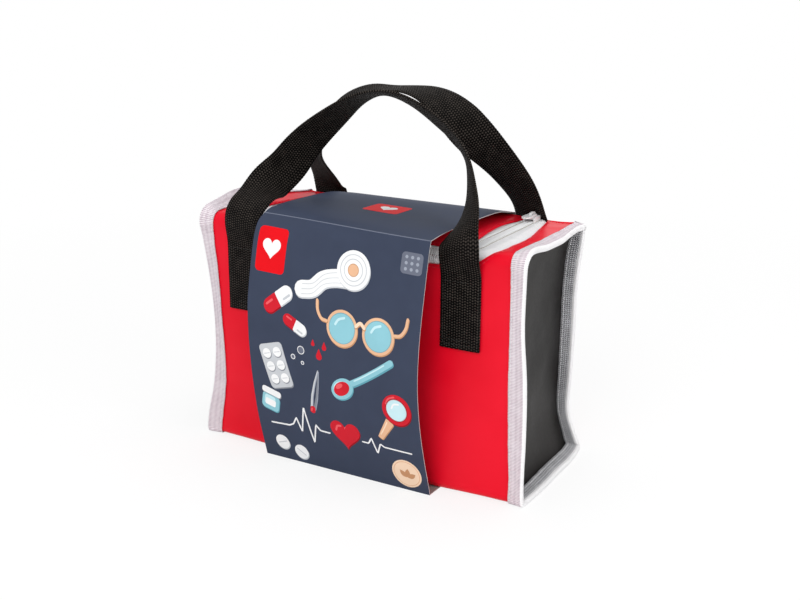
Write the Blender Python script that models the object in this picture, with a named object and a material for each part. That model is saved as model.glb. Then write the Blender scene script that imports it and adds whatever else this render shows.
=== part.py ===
"""Toy doctor case: a soft zipped box with two webbing handles in a printed card band.

Blender 4.5 script, in metres, +Z up. The origin is on the floor under the middle of the
case. +X runs along the case, -Y is its front and +Y its rear, where the lid is hinged.
"""

import math

import bmesh
import bpy
from mathutils import Matrix, Vector

# Clearances
FIT_GAP = 0.0003            # between pieces that lie against each other
CUT_OVERRUN = 0.004         # how far a cutter passes what it cuts

# Case
CASE_LENGTH = 0.262         # over both bound edges
CASE_DEPTH = 0.114          # front face to rear face
CASE_HEIGHT = 0.175         # under side to top of the coated fabric
FABRIC = 0.0012             # coated fabric of the wrap and the lid
FRONT_EDGE_RADIUS = 0.008
REAR_EDGE_RADIUS = 0.002
BOTTOM_RADIUS = 0.004
TIGHT_RADIUS = 0.0005       # least radius inside a tight edge
EDGE_SEGMENTS = 6

# Ends and the tape that binds their seams
END_FABRIC = 0.0010
END_RECESS = 0.0105         # end panel's rim to the outside of the bound edge
END_SAG = 0.0035            # how far the middle of an end panel sags inward
BINDING_TAPE = 0.0006
BINDING_WIDTH = 0.0115

# Zip, measured from its chain line
CHAIN_FROM_END = 0.0415     # side runs, inward from the bound edges
CHAIN_BELOW_TOP = 0.007     # front run, below the top of the case
CHAIN_CORNER_RADIUS = 0.022
CORNER_SEGMENTS = 8
WINDOW_SIDE_OUTER = 0.0155  # bare tape beside the side runs
WINDOW_SIDE_INNER = 0.0080
WINDOW_FRONT_OUTER = 0.0070
WINDOW_FRONT_INNER = 0.0070
TAPE_THICKNESS = 0.0005
TAPE_HEM = 0.0035           # tape held under the fabric
COIL_WIDTH = 0.0029         # one of the two coils
COIL_PROUD = 0.0008         # coil above the fabric
LID_HINGE_INSET = 0.0040    # lid hinge in front of the rear face

# Slider and pull
SLIDER_LENGTH = 0.011
SLIDER_MOUTH = 0.0092       # width where the coils enter
SLIDER_NOSE = 0.0078        # width where they leave closed
SLIDER_PLATE = 0.0014
SLIDER_FLANGE = 0.0009
SLIDER_FROM_REAR = 0.0102    # middle of the slider to the rear face
BRIDGE_LENGTH = 0.0078
BRIDGE_HEIGHT = 0.0034
BRIDGE_WIDTH = 0.0020
BRIDGE_BAR = 0.0012
BRIDGE_SEGMENTS = 8
BRIDGE_FULLNESS = 0.6       # 1 is an ellipse and less is squarer
PULL_LENGTH = 0.015         # from its pivot to its tip
PULL_WIDTH = 0.0070
PULL_ROOT_WIDTH = 0.0058
PULL_THICKNESS = 0.0012
PULL_SLOT_LENGTH = 0.0066
PULL_SLOT_WIDTH = 0.0032
PULL_TIP_SEGMENTS = 8

# Handles
STRAP_WIDTH = 0.030
STRAP_THICKNESS = 0.0016
BAND_TO_STRAP = 0.0039      # from the card band to a handle's leg, each side
STRAP_SHIFT = 0.0030        # both handles to the left of the middle
STRAP_SEWN_LENGTH = 0.051
STRAP_SEWN_BELOW_TOP = 0.018
HANDLE_RISE = 0.111         # from the sewn end to the top of the arch
HANDLE_BOW = 0.0040         # how far a leg stands off before it leans in
HANDLE_LEAN = 0.006         # top of an arch to the side of the middle
HANDLE_RINGS = 60
HANDLE_UPRIGHT_RINGS = 3    # rings at each end that stay upright
HANDLE_SMOOTHING = 5
HANDLE_CURVE_STEPS = 16
FOLD_CLEARANCE = 0.0003     # fold line in front of the strap's outer face

# Card band
CARD = 0.0005
BAND_FROM_END = 0.0604      # inward from the bound edges
BAND_SHIFT = 0.0006         # to the right of the middle
BAND_TOP_GAP = 0.0066       # free height over the lid
BAND_FOOT = 0.0130          # front crease at the floor, in front of the case
BAND_BROW = 0.0158          # front crease at the top, in front of the case
BAND_BOW = 0.0175           # how far the front bows out between its creases
BAND_BOW_SEGMENTS = 12
BAND_TOP_SETBACK = 0.0240   # rear crease in front of the rear face
BAND_REAR_GAP = 0.0006

# An end panel's sag: the share of half the case's depth in from its rim, and of the full sag
END_SAG_SHARES = ((0.07, 0.30), (0.22, 0.70), (0.50, 1.00))

# The slider's cross-sections, as shares of half its length from its middle
SLIDER_SECTION_SHARES = (-1.0, -0.4, 0.5, 1.0)

# Handle route, leg to arch. Each row is the share of the leg's distance from the middle, of the
# way out from the arch to the leg, of the rise, of a quarter turn and of the bow.
FRONT_ROUTE_SHARES = (
    (1.000, 1.000, 0.000, 0.00, 0.0),
    (1.000, 1.000, 0.090, 0.00, 0.4),
    (1.012, 1.000, 0.190, 0.02, 1.0),
    (1.000, 0.900, 0.272, 0.12, 0.7),
    (0.935, 0.620, 0.380, 0.36, 0.0),
    (0.840, 0.300, 0.490, 0.52, 0.0),
    (0.765, 0.140, 0.620, 0.62, 0.0),
    (0.650, 0.060, 0.725, 0.67, 0.0),
    (0.485, 0.010, 0.830, 0.75, 0.0),
    (0.310, 0.000, 0.920, 0.85, 0.0),
    (0.140, 0.000, 0.960, 0.92, 0.0),
    (0.000, 0.000, 0.970, 0.96, 0.0),
)
REAR_ROUTE_SHARES = (
    (1.000, 1.000, 0.000, 0.00, 0.0),
    (1.000, 1.000, 0.090, 0.00, 0.4),
    (1.005, 1.000, 0.190, 0.02, 1.0),
    (0.990, 0.830, 0.265, 0.06, 0.6),
    (0.950, 0.500, 0.400, 0.18, 0.0),
    (0.900, 0.290, 0.510, 0.42, 0.0),
    (0.805, 0.140, 0.620, 0.56, 0.0),
    (0.690, 0.030, 0.730, 0.58, 0.0),
    (0.515, 0.000, 0.855, 0.60, 0.0),
    (0.300, 0.000, 0.940, 0.71, 0.0),
    (0.100, 0.000, 0.970, 0.86, 0.0),
    (0.000, 0.000, 0.975, 0.95, 0.0),
)

# Places that follow from the sizes
FRONT_Y = -CASE_DEPTH / 2
REAR_Y = CASE_DEPTH / 2
BOTTOM_Z = BINDING_TAPE + FIT_GAP
TOP_Z = BOTTOM_Z + CASE_HEIGHT
EDGE_X = CASE_LENGTH / 2
CHAIN_X = EDGE_X - CHAIN_FROM_END
BAND_X = EDGE_X - BAND_FROM_END
STRAP_X = BAND_X + BAND_TO_STRAP + STRAP_WIDTH / 2
HINGE_Y = REAR_Y - LID_HINGE_INSET
HINGE_Z = TOP_Z - FABRIC / 2
TAPE_DEPTH = FABRIC + FIT_GAP
PATCH_TOP_Z = TOP_Z - STRAP_SEWN_BELOW_TOP
STRAP_OUT = FIT_GAP + STRAP_THICKNESS

# The zip's outline is drawn on a plane that faces halfway between front and top
SLANT = math.sqrt(0.5)
ALONG = Vector((1, 0, 0))
UP_SLOPE = Vector((0, SLANT, SLANT))
OUTWARD = Vector((0, -SLANT, SLANT))


def clear_scene():
    for obj in list(bpy.data.objects):
        bpy.data.objects.remove(obj, do_unlink=True)


def make_material(name, colour, roughness, metallic=0.0):
    material = bpy.data.materials.new(name)
    material.use_nodes = True
    shader = material.node_tree.nodes["Principled BSDF"]
    shader.inputs["Base Color"].default_value = (*colour, 1.0)
    shader.inputs["Roughness"].default_value = roughness
    shader.inputs["Metallic"].default_value = metallic
    return material


def add_object(name, mesh, material=None, origin=(0, 0, 0)):
    """Put a mesh with world coordinates in the scene, with its origin at the given point."""
    mesh.transform(Matrix.Translation(-Vector(origin)))
    obj = bpy.data.objects.new(name, mesh)
    obj.location = origin
    bpy.context.scene.collection.objects.link(obj)
    if material:
        mesh.materials.append(material)
    return obj


def finish_mesh(name, mesh_data):
    bmesh.ops.recalc_face_normals(mesh_data, faces=mesh_data.faces)
    mesh = bpy.data.meshes.new(name)
    mesh_data.to_mesh(mesh)
    mesh_data.free()
    return mesh


def loft(name, loops, ring=False):
    """Join loops of equally many points; a ring closes on itself, otherwise the ends are capped."""
    mesh_data = bmesh.new()
    rows = [[mesh_data.verts.new(point) for point in loop] for loop in loops]
    pairs = list(zip(rows, rows[1:]))
    if ring:
        pairs.append((rows[-1], rows[0]))
    else:
        mesh_data.faces.new(rows[0])
        mesh_data.faces.new(rows[-1])
    for first, second in pairs:
        for index in range(len(first)):
            after = (index + 1) % len(first)
            mesh_data.faces.new((first[index], first[after], second[after], second[index]))
    return finish_mesh(name, mesh_data)


def strip_prism(name, outer, inner, low, high):
    """A solid between two equally long open lines, swept from one offset vector to the other."""
    mesh_data = bmesh.new()
    rows = [[mesh_data.verts.new(point + shift) for point in line]
            for line, shift in ((outer, low), (outer, high), (inner, high), (inner, low))]
    for first, second in zip(rows, rows[1:] + rows[:1]):
        for index in range(len(first) - 1):
            mesh_data.faces.new((first[index], first[index + 1], second[index + 1], second[index]))
    mesh_data.faces.new([row[0] for row in rows])
    mesh_data.faces.new([row[-1] for row in rows])
    return finish_mesh(name, mesh_data)


def cut(obj, mesh, operation):
    """Apply a Boolean with a helper object, which stays hidden from renders."""
    helper = add_object(obj.name + "_" + mesh.name, mesh)
    helper.hide_render = True
    helper.display_type = "WIRE"
    modifier = obj.modifiers.new(mesh.name, "BOOLEAN")
    modifier.operation = operation
    modifier.object = helper
    modifier.solver = "EXACT"


def case_section(inset):
    """Points (y, z) round the case's cross-section, moved inward by the inset."""
    corners = (
        (1, 1, REAR_EDGE_RADIUS, 0.0),
        (-1, 1, FRONT_EDGE_RADIUS, 0.25),
        (-1, -1, BOTTOM_RADIUS, 0.5),
        (1, -1, BOTTOM_RADIUS, 0.75),
    )
    middle_z = (BOTTOM_Z + TOP_Z) / 2
    points = []
    for side_y, side_z, edge_radius, start_share in corners:
        radius = max(edge_radius - inset, TIGHT_RADIUS)
        centre_y = side_y * (CASE_DEPTH / 2 - inset - radius)
        centre_z = middle_z + side_z * (CASE_HEIGHT / 2 - inset - radius)
        for step in range(EDGE_SEGMENTS + 1):
            angle = 2 * math.pi * (start_share + step / EDGE_SEGMENTS / 4)
            points.append((centre_y + radius * math.cos(angle),
                           centre_z + radius * math.sin(angle)))
    return points


def section_loop(inset, x):
    return [Vector((x, y, z)) for y, z in case_section(inset)]


def case_ring(name, outer_inset, inner_inset, half_length):
    """A tube along X that follows the case's section between two insets."""
    loops = [section_loop(outer_inset, -half_length), section_loop(outer_inset, half_length),
             section_loop(inner_inset, half_length), section_loop(inner_inset, -half_length)]
    return loft(name, loops, ring=True)


def on_slope(across, y, z):
    """The point of the zip's drawing plane that shows the given point of the case."""
    return ALONG * across + UP_SLOPE * ((y + z) * SLANT)


def zip_line(side_offset, front_offset, rear_y):
    """The chain line moved outward, from the rear right round the front to the rear left."""
    half_width = CHAIN_X + side_offset
    front_slope = (FRONT_Y + TOP_Z - CHAIN_BELOW_TOP - front_offset) * SLANT
    radius_across = CHAIN_CORNER_RADIUS + side_offset
    radius_up = CHAIN_CORNER_RADIUS + front_offset * SLANT
    line = [on_slope(half_width, rear_y, TOP_Z)]
    for step in range(CORNER_SEGMENTS + 1):
        angle = math.pi / 2 * step / CORNER_SEGMENTS
        across = half_width - radius_across * (1 - math.cos(angle))
        up = front_slope + radius_up * (1 - math.sin(angle))
        line.append(ALONG * across + UP_SLOPE * up)
    return line + [Vector((-point.x, point.y, point.z)) for point in reversed(line)]


def slope_reach():
    """Offsets along the outward direction that hold the top and the front face, and no more."""
    low = (TOP_Z - HINGE_Y) * SLANT - 2 * FABRIC
    high = (TOP_Z - FRONT_Y) * SLANT + 2 * CUT_OVERRUN
    return OUTWARD * low, OUTWARD * high


def lid_region(name, side_offset, front_offset, rear_y):
    line = zip_line(side_offset, front_offset, rear_y)
    low, high = slope_reach()
    return loft(name, [[point + low for point in line], [point + high for point in line]])


def zip_strip(name, outer_side, outer_front, inner_side, inner_front, rear_y):
    low, high = slope_reach()
    return strip_prism(name, zip_line(outer_side, outer_front, rear_y),
                       zip_line(inner_side, inner_front, rear_y), low, high)


def build_wrap(red):
    wrap = add_object("body_wrap", case_ring("body_wrap", 0, FABRIC, EDGE_X - BINDING_TAPE - FIT_GAP), red)
    cut(wrap, lid_region("window", WINDOW_SIDE_OUTER, WINDOW_FRONT_OUTER, HINGE_Y + FIT_GAP), "DIFFERENCE")


def build_lid(red):
    lid = add_object("lid_panel", case_ring("lid_panel", 0, FABRIC, CHAIN_X), red,
                     (0, HINGE_Y, HINGE_Z))
    cut(lid, lid_region("outline", -WINDOW_SIDE_INNER, -WINDOW_FRONT_INNER, HINGE_Y), "INTERSECT")


def build_zip(tape_white, coil_white):
    half_chain = FIT_GAP / 2
    coil_far = half_chain + COIL_WIDTH
    rear_end = HINGE_Y - FIT_GAP
    half_length = CHAIN_X + WINDOW_SIDE_OUTER + TAPE_HEM + CUT_OVERRUN
    outer_window = (WINDOW_SIDE_OUTER + TAPE_HEM, WINDOW_FRONT_OUTER + TAPE_HEM)
    inner_window = (-WINDOW_SIDE_INNER - TAPE_HEM, -WINDOW_FRONT_INNER - TAPE_HEM)
    hinge = (0, HINGE_Y, HINGE_Z)
    middle = (0, 0, 0)
    strips = (
        ("zipper_outer_tape", tape_white, middle, TAPE_DEPTH, TAPE_DEPTH + TAPE_THICKNESS,
         outer_window, (half_chain, half_chain)),
        ("zipper_outer_coil", coil_white, middle, -COIL_PROUD, TAPE_DEPTH - FIT_GAP,
         (coil_far, coil_far), (half_chain, half_chain)),
        ("zipper_inner_tape", tape_white, hinge, TAPE_DEPTH, TAPE_DEPTH + TAPE_THICKNESS,
         (-half_chain, -half_chain), inner_window),
        ("zipper_inner_coil", coil_white, hinge, -COIL_PROUD, TAPE_DEPTH - FIT_GAP,
         (-half_chain, -half_chain), (-coil_far, -coil_far)),
    )
    for name, material, origin, outer_inset, inner_inset, outer, inner in strips:
        piece = add_object(name, case_ring(name, outer_inset, inner_inset, half_length), material, origin)
        cut(piece, zip_strip("run", *outer, *inner, rear_end), "INTERSECT")


def build_end(side, name, charcoal, tape_white):
    """The recessed, sagging end panel with its turned-out rim, and the tape folded over the seam."""
    rim_outer = FABRIC + FIT_GAP
    rim_inner = rim_outer + END_FABRIC
    rim_x = EDGE_X - BINDING_TAPE - FIT_GAP
    floor_x = EDGE_X - END_RECESS
    sag_rings = [(rim_inner + reach * CASE_DEPTH / 2, depth * END_SAG) for reach, depth in END_SAG_SHARES]
    panel_loops = [section_loop(inset, side * (floor_x - END_FABRIC - depth))
                   for inset, depth in reversed(sag_rings)]
    panel_loops += [
        section_loop(rim_outer, side * (floor_x - END_FABRIC)),
        section_loop(rim_outer, side * rim_x),
        section_loop(rim_inner, side * rim_x),
        section_loop(rim_inner, side * floor_x),
    ]
    panel_loops += [section_loop(inset, side * (floor_x - depth)) for inset, depth in sag_rings]
    add_object(name + "_end_panel", loft(name + "_end_panel", panel_loops), charcoal)

    slot_inner = rim_inner + FIT_GAP
    slot_x = EDGE_X - BINDING_TAPE
    outer_tip_x = EDGE_X - BINDING_WIDTH
    inner_tip_x = max(outer_tip_x, floor_x + FIT_GAP)
    tape_loops = [
        section_loop(-FIT_GAP - BINDING_TAPE, side * outer_tip_x),
        section_loop(-FIT_GAP - BINDING_TAPE, side * EDGE_X),
        section_loop(slot_inner + BINDING_TAPE, side * EDGE_X),
        section_loop(slot_inner + BINDING_TAPE, side * inner_tip_x),
        section_loop(slot_inner, side * inner_tip_x),
        section_loop(slot_inner, side * slot_x),
        section_loop(-FIT_GAP, side * slot_x),
        section_loop(-FIT_GAP, side * outer_tip_x),
    ]
    add_object(name + "_binding", loft(name + "_binding", tape_loops, ring=True), tape_white)


def box(name, low, high):
    loops = [[Vector((x, y, z)) for x, y in ((low[0], low[1]), (high[0], low[1]),
                                             (high[0], high[1]), (low[0], high[1]))]
             for z in (low[2], high[2])]
    return loft(name, loops)


def build_slider(coil_white):
    slider_y = REAR_Y - SLIDER_FROM_REAR
    under_z = TOP_Z + COIL_PROUD + FIT_GAP
    plate_z = under_z + SLIDER_PLATE
    foot_z = TOP_Z - TAPE_DEPTH + FIT_GAP
    half_length = SLIDER_LENGTH / 2
    channel = FIT_GAP / 2 + COIL_WIDTH + FIT_GAP

    loops = []
    for share in SLIDER_SECTION_SHARES:
        half_width = (SLIDER_MOUTH + (SLIDER_NOSE - SLIDER_MOUTH) * (share + 1) / 2) / 2
        half_width = max(half_width, channel + SLIDER_FLANGE)
        profile = ((half_width, foot_z), (half_width, plate_z), (-half_width, plate_z),
                   (-half_width, foot_z), (-channel, foot_z), (-channel, under_z),
                   (channel, under_z), (channel, foot_z))
        loops.append([Vector((CHAIN_X + x, slider_y + share * half_length, z)) for x, z in profile])
    slider = add_object("zipper_slider", loft("zipper_slider", loops), coil_white,
                        (CHAIN_X, slider_y, plate_z))

    rows = []
    for reach, rise in ((0, 0), (BRIDGE_BAR, BRIDGE_BAR)):
        row = []
        for step in range(BRIDGE_SEGMENTS + 1):
            angle = math.pi * step / BRIDGE_SEGMENTS
            reach_share = math.copysign(abs(math.cos(angle)) ** BRIDGE_FULLNESS, math.cos(angle))
            along = (BRIDGE_LENGTH / 2 - reach) * reach_share
            up = (BRIDGE_HEIGHT - rise) * math.sin(angle) ** BRIDGE_FULLNESS
            row.append(Vector((CHAIN_X, slider_y + along, plate_z - FIT_GAP + up)))
        rows.append(row)
    half_bridge = ALONG * (BRIDGE_WIDTH / 2)
    cut(slider, strip_prism("bridge", *rows, -half_bridge, half_bridge), "UNION")

    pivot_z = plate_z + (BRIDGE_HEIGHT - FIT_GAP - BRIDGE_BAR) / 2
    pivot_y = slider_y + BRIDGE_LENGTH / 2 - BRIDGE_BAR - PULL_THICKNESS
    return Vector((CHAIN_X, pivot_y, pivot_z))


def build_pull(pivot, coil_white):
    """A flat pull that lies forward over the chain, its bar under the bridge's rear end."""
    half_bar = PULL_THICKNESS / 2
    tip_radius = PULL_WIDTH / 2
    outline = [(PULL_ROOT_WIDTH / 2, half_bar), (-PULL_ROOT_WIDTH / 2, half_bar)]
    for step in range(PULL_TIP_SEGMENTS + 1):
        angle = math.pi * step / PULL_TIP_SEGMENTS
        outline.append((-tip_radius * math.cos(angle), tip_radius * (1 - math.sin(angle)) - PULL_LENGTH))
    loops = [[pivot + Vector((x, y, z)) for x, y in outline] for z in (-half_bar, half_bar)]
    pull = add_object("pull_tab", loft("pull_tab", loops), coil_white, pivot)
    half_slot = PULL_SLOT_WIDTH / 2
    cut(pull, box("slot", pivot + Vector((-half_slot, -PULL_SLOT_LENGTH, -CUT_OVERRUN)),
                  pivot + Vector((half_slot, -half_bar, CUT_OVERRUN))), "DIFFERENCE")


def smooth_route(points, count):
    """Evenly spaced points on a Catmull-Rom curve through the given vectors."""
    padded = [2 * points[0] - points[1], *points, 2 * points[-1] - points[-2]]
    fine = []
    for before, start, end, after in zip(padded, padded[1:], padded[2:], padded[3:]):
        for step in range(HANDLE_CURVE_STEPS):
            t = step / HANDLE_CURVE_STEPS
            fine.append(((2 * start) + (end - before) * t
                         + (2 * before - 5 * start + 4 * end - after) * t * t
                         + (3 * start - before - 3 * end + after) * t * t * t) / 2)
    fine.append(points[-1])
    lengths = [0.0]
    for first, second in zip(fine, fine[1:]):
        lengths.append(lengths[-1] + (second - first).xyz.length)
    route = []
    index = 0
    for number in range(count):
        wanted = lengths[-1] * number / (count - 1)
        while index < len(fine) - 2 and lengths[index + 1] < wanted:
            index += 1
        span = lengths[index + 1] - lengths[index]
        share = (wanted - lengths[index]) / span if span else 0
        route.append(fine[index].lerp(fine[index + 1], share))
    return route


def handle_route(side_y, shares):
    """Centre line points with their twist as a fourth value, from the left leg to the right."""
    arch_y = STRAP_WIDTH / 2 + FIT_GAP
    leg_y = CASE_DEPTH / 2 + FIT_GAP + STRAP_THICKNESS / 2
    foot_z = PATCH_TOP_Z + FIT_GAP
    legs = []
    for side_x in (-1, 1):
        leg = []
        for across, out, rise, turn, bow in shares:
            lean = -side_y * HANDLE_LEAN * (1 - out)
            leg.append(Vector((side_x * across * STRAP_X - STRAP_SHIFT + lean,
                               side_y * (arch_y + (leg_y - arch_y) * out + HANDLE_BOW * bow),
                               foot_z + rise * HANDLE_RISE, turn)))
        legs.append(leg)
    route = smooth_route(legs[0] + legs[1][-2::-1], HANDLE_RINGS)
    keep = HANDLE_UPRIGHT_RINGS
    for _ in range(HANDLE_SMOOTHING):
        middle = [(before + 2 * point + after) / 4
                  for before, point, after in zip(route, route[1:], route[2:])]
        route[keep:-keep] = middle[keep - 1:len(middle) - keep + 1]
    return route


def build_handle(name, side_y, shares, webbing):
    """One handle: a strap swept along its arch, turning flat at the top, and its two sewn ends."""
    route = handle_route(side_y, shares)
    outward = Vector((0, side_y, 0))
    loops = []
    for index, point in enumerate(route):
        before = route[max(index - 1, 0)].xyz
        after = route[min(index + 1, len(route) - 1)].xyz
        tangent = (after - before).normalized()
        if index in (0, len(route) - 1):
            tangent = Vector((0, 0, 1 if index == 0 else -1))
        out = (outward - tangent * outward.dot(tangent)).normalized()
        inward = tangent.cross(out) * -side_y
        turn = point.w * math.pi / 2
        normal = out * math.cos(turn) + inward * math.sin(turn)
        across = tangent.cross(normal)
        loops.append([point.xyz + across * (x * STRAP_WIDTH / 2) + normal * (y * STRAP_THICKNESS / 2)
                      for x, y in ((-1, -1), (1, -1), (1, 1), (-1, 1))])
    fold_y = side_y * (CASE_DEPTH / 2 + STRAP_OUT + FOLD_CLEARANCE)
    add_object(name, loft(name, loops), webbing, (0, fold_y, PATCH_TOP_Z))

    for side_x, side_name in ((-1, "left"), (1, "right")):
        faces = sorted((side_y * (CASE_DEPTH / 2 + FIT_GAP), side_y * (CASE_DEPTH / 2 + STRAP_OUT)))
        middle_x = side_x * STRAP_X - STRAP_SHIFT
        end_name = name + "_" + side_name + "_end"
        add_object(end_name, box(end_name,
                                 (middle_x - STRAP_WIDTH / 2, faces[0], PATCH_TOP_Z - STRAP_SEWN_LENGTH),
                                 (middle_x + STRAP_WIDTH / 2, faces[1], PATCH_TOP_Z)), webbing)


def band_outline():
    """Points (y, z) of the card band's outer face, from the front foot over the top to the rear."""
    foot_y = FRONT_Y - BAND_FOOT
    brow_y = FRONT_Y - BAND_BROW
    top_z = TOP_Z + BAND_TOP_GAP + CARD
    rear_y = REAR_Y + BAND_REAR_GAP + CARD
    points = []
    for step in range(BAND_BOW_SEGMENTS + 1):
        share = step / BAND_BOW_SEGMENTS
        bow = 4 * share * (1 - share) * BAND_BOW
        points.append((foot_y + (brow_y - foot_y) * share - bow, top_z * share))
    points.append((REAR_Y - BAND_TOP_SETBACK, top_z))
    points.append((rear_y, TOP_Z + BAND_REAR_GAP + CARD))
    points.append((rear_y, 0))
    return points


def inset_outline(points, distance):
    """Move each side of a clockwise convex outline inward and meet the sides again."""
    inner = []
    for index, point in enumerate(points):
        here = Vector(point)
        back = (here - Vector(points[index - 1])).normalized()
        ahead = (Vector(points[(index + 1) % len(points)]) - here).normalized()
        back_normal = Vector((back.y, -back.x))
        ahead_normal = Vector((ahead.y, -ahead.x))
        miter = back_normal + ahead_normal
        inner.append(here + miter * (distance / (1 + back_normal.dot(ahead_normal))))
    return inner


def build_band(card):
    outer = band_outline()
    inner = inset_outline(outer, CARD)
    left = BAND_SHIFT - BAND_X
    right = BAND_SHIFT + BAND_X
    loops = [[Vector((x, y, z)) for y, z in outline]
             for x, outline in ((left, outer), (right, outer), (right, inner), (left, inner))]
    add_object("card_band", loft("card_band", loops, ring=True), card)


def build():
    clear_scene()
    red = make_material("red_coated_fabric", (0.72, 0.02, 0.05), 0.32)
    charcoal = make_material("charcoal_coated_fabric", (0.045, 0.043, 0.040), 0.45)
    binding_white = make_material("white_grosgrain", (0.82, 0.80, 0.81), 0.80)
    tape_white = make_material("white_zip_tape", (0.84, 0.84, 0.85), 0.75)
    coil_white = make_material("white_zip_plastic", (0.86, 0.86, 0.86), 0.35)
    webbing = make_material("black_webbing", (0.012, 0.011, 0.010), 0.85)
    card = make_material("slate_card", (0.062, 0.076, 0.118), 0.50)

    build_wrap(red)
    build_lid(red)
    build_zip(tape_white, coil_white)
    build_end(-1, "left", charcoal, binding_white)
    build_end(1, "right", charcoal, binding_white)
    pivot = build_slider(coil_white)
    build_pull(pivot, coil_white)
    build_handle("front_handle", -1, FRONT_ROUTE_SHARES, webbing)
    build_handle("rear_handle", 1, REAR_ROUTE_SHARES, webbing)
    build_band(card)


build()
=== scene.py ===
"""Looks of the toy doctor case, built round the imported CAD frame. Metres, +Z up."""

import math

import bmesh
import bpy
import numpy as np
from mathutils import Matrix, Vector, noise
from mathutils.geometry import delaunay_2d_cdt


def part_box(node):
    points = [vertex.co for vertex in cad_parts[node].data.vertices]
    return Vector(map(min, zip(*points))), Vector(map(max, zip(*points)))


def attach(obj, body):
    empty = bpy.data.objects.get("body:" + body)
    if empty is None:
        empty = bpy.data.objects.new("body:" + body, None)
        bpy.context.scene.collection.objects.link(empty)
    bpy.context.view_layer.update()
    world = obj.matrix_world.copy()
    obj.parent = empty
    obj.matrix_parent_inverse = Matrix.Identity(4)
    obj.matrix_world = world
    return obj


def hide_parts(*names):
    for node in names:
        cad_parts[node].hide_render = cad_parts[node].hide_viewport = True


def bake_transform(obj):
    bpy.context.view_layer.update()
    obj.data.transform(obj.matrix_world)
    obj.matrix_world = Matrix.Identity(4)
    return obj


MM = 0.001
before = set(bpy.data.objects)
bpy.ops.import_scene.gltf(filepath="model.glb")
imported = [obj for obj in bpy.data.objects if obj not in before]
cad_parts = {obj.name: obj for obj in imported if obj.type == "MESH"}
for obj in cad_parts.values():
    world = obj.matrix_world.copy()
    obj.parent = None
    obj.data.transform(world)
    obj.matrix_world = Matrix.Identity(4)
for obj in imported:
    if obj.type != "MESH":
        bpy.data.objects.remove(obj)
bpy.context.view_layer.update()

# Sizes, in millimetres
wrap_low, wrap_high = (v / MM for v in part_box("body_wrap"))
BOTTOM = wrap_low.z
TOP = wrap_high.z
HALF_DEPTH = wrap_high.y
EDGE_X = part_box("right_binding")[1].x / MM
SEAM_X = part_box("right_binding")[0].x / MM
CHAIN_X = 89.5
CHAIN_Z = TOP - 7.0
HINGE_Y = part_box("lid_panel")[1].y / MM - 1.2
FABRIC = 1.2
FRONT_RADIUS, REAR_RADIUS, BOTTOM_RADIUS = 8.0, 2.0, 4.0


# Small maths
def smoothstep(low, high, value):
    share = np.clip((np.asarray(value, float) - low) / (high - low), 0, 1)
    return share * share * (3 - 2 * share)


def bell(value, centre, width):
    return np.exp(-((np.asarray(value, float) - centre) / width) ** 2)


def ripple(x, y, scale, seed):
    """Smooth noise from -1 to 1, the same in each run."""
    return noise.noise(Vector((x / scale, y / scale, seed)))


ripple_many = np.vectorize(ripple, otypes=[float])


def run_lengths(line):
    """Distance along a line of points, at each of them."""
    return np.r_[0, np.cumsum(np.linalg.norm(np.diff(line, axis=0), axis=1))]


def headings(line):
    """Unit direction at each point of a line."""
    ahead = np.gradient(line, axis=0)
    return ahead / np.linalg.norm(ahead, axis=1)[:, None]


def read_off(line, lengths, wanted):
    """The points of a line at the wanted distances."""
    return np.stack([np.interp(wanted, lengths, column) for column in line.T], -1)


def smooth_table(keys, values, wanted, period=None):
    """Smooth curve through a few values; with a period it closes on itself."""
    keys, values, wanted = (np.asarray(a, float) for a in (keys, values, wanted))
    if period:
        keys = np.r_[keys[-2:] - period, keys, keys[:2] + period]
        values = np.r_[values[-2:], values, values[:2]]
        wanted = np.mod(wanted, period)
    slopes = np.gradient(values, keys)
    place = np.clip(np.searchsorted(keys, wanted) - 1, 0, len(keys) - 2)
    span = keys[place + 1] - keys[place]
    t = np.clip((wanted - keys[place]) / span, 0, 1)
    a = (2 * t**3 - 3 * t**2 + 1) * values[place] + (t**3 - 2 * t**2 + t) * span * slopes[place]
    b = (3 * t**2 - 2 * t**3) * values[place + 1] + (t**3 - t**2) * span * slopes[place + 1]
    return a + b


# The case's cross-section
def section_parts():
    """Straight runs and bends round the section, from the lid's hinge line forwards and down."""
    front, rear = -HALF_DEPTH, HALF_DEPTH
    quarter = math.pi / 2
    return (
        ("line", (HINGE_Y, TOP), (front + FRONT_RADIUS, TOP)),
        ("arc", (front + FRONT_RADIUS, TOP - FRONT_RADIUS), FRONT_RADIUS, quarter),
        ("line", (front, TOP - FRONT_RADIUS), (front, BOTTOM + BOTTOM_RADIUS)),
        ("arc", (front + BOTTOM_RADIUS, BOTTOM + BOTTOM_RADIUS), BOTTOM_RADIUS, 2 * quarter),
        ("line", (front + BOTTOM_RADIUS, BOTTOM), (rear - BOTTOM_RADIUS, BOTTOM)),
        ("arc", (rear - BOTTOM_RADIUS, BOTTOM + BOTTOM_RADIUS), BOTTOM_RADIUS, 3 * quarter),
        ("line", (rear, BOTTOM + BOTTOM_RADIUS), (rear, TOP - REAR_RADIUS)),
        ("arc", (rear - REAR_RADIUS, TOP - REAR_RADIUS), REAR_RADIUS, 4 * quarter),
        ("line", (rear - REAR_RADIUS, TOP), (HINGE_Y, TOP)),
    )


def part_length(part):
    if part[0] == "line":
        return math.dist(part[1], part[2])
    return part[2] * math.pi / 2


PARTS = section_parts()
STARTS = np.r_[0, np.cumsum([part_length(part) for part in PARTS])]
ROUND = STARTS[-1]
S_FRONT_TOP = STARTS[2]
S_FLOOR, S_FLOOR_END, S_REAR = STARTS[4], STARTS[5], STARTS[6]
S_CHAIN = S_FRONT_TOP + (TOP - FRONT_RADIUS - CHAIN_Z)


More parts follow.
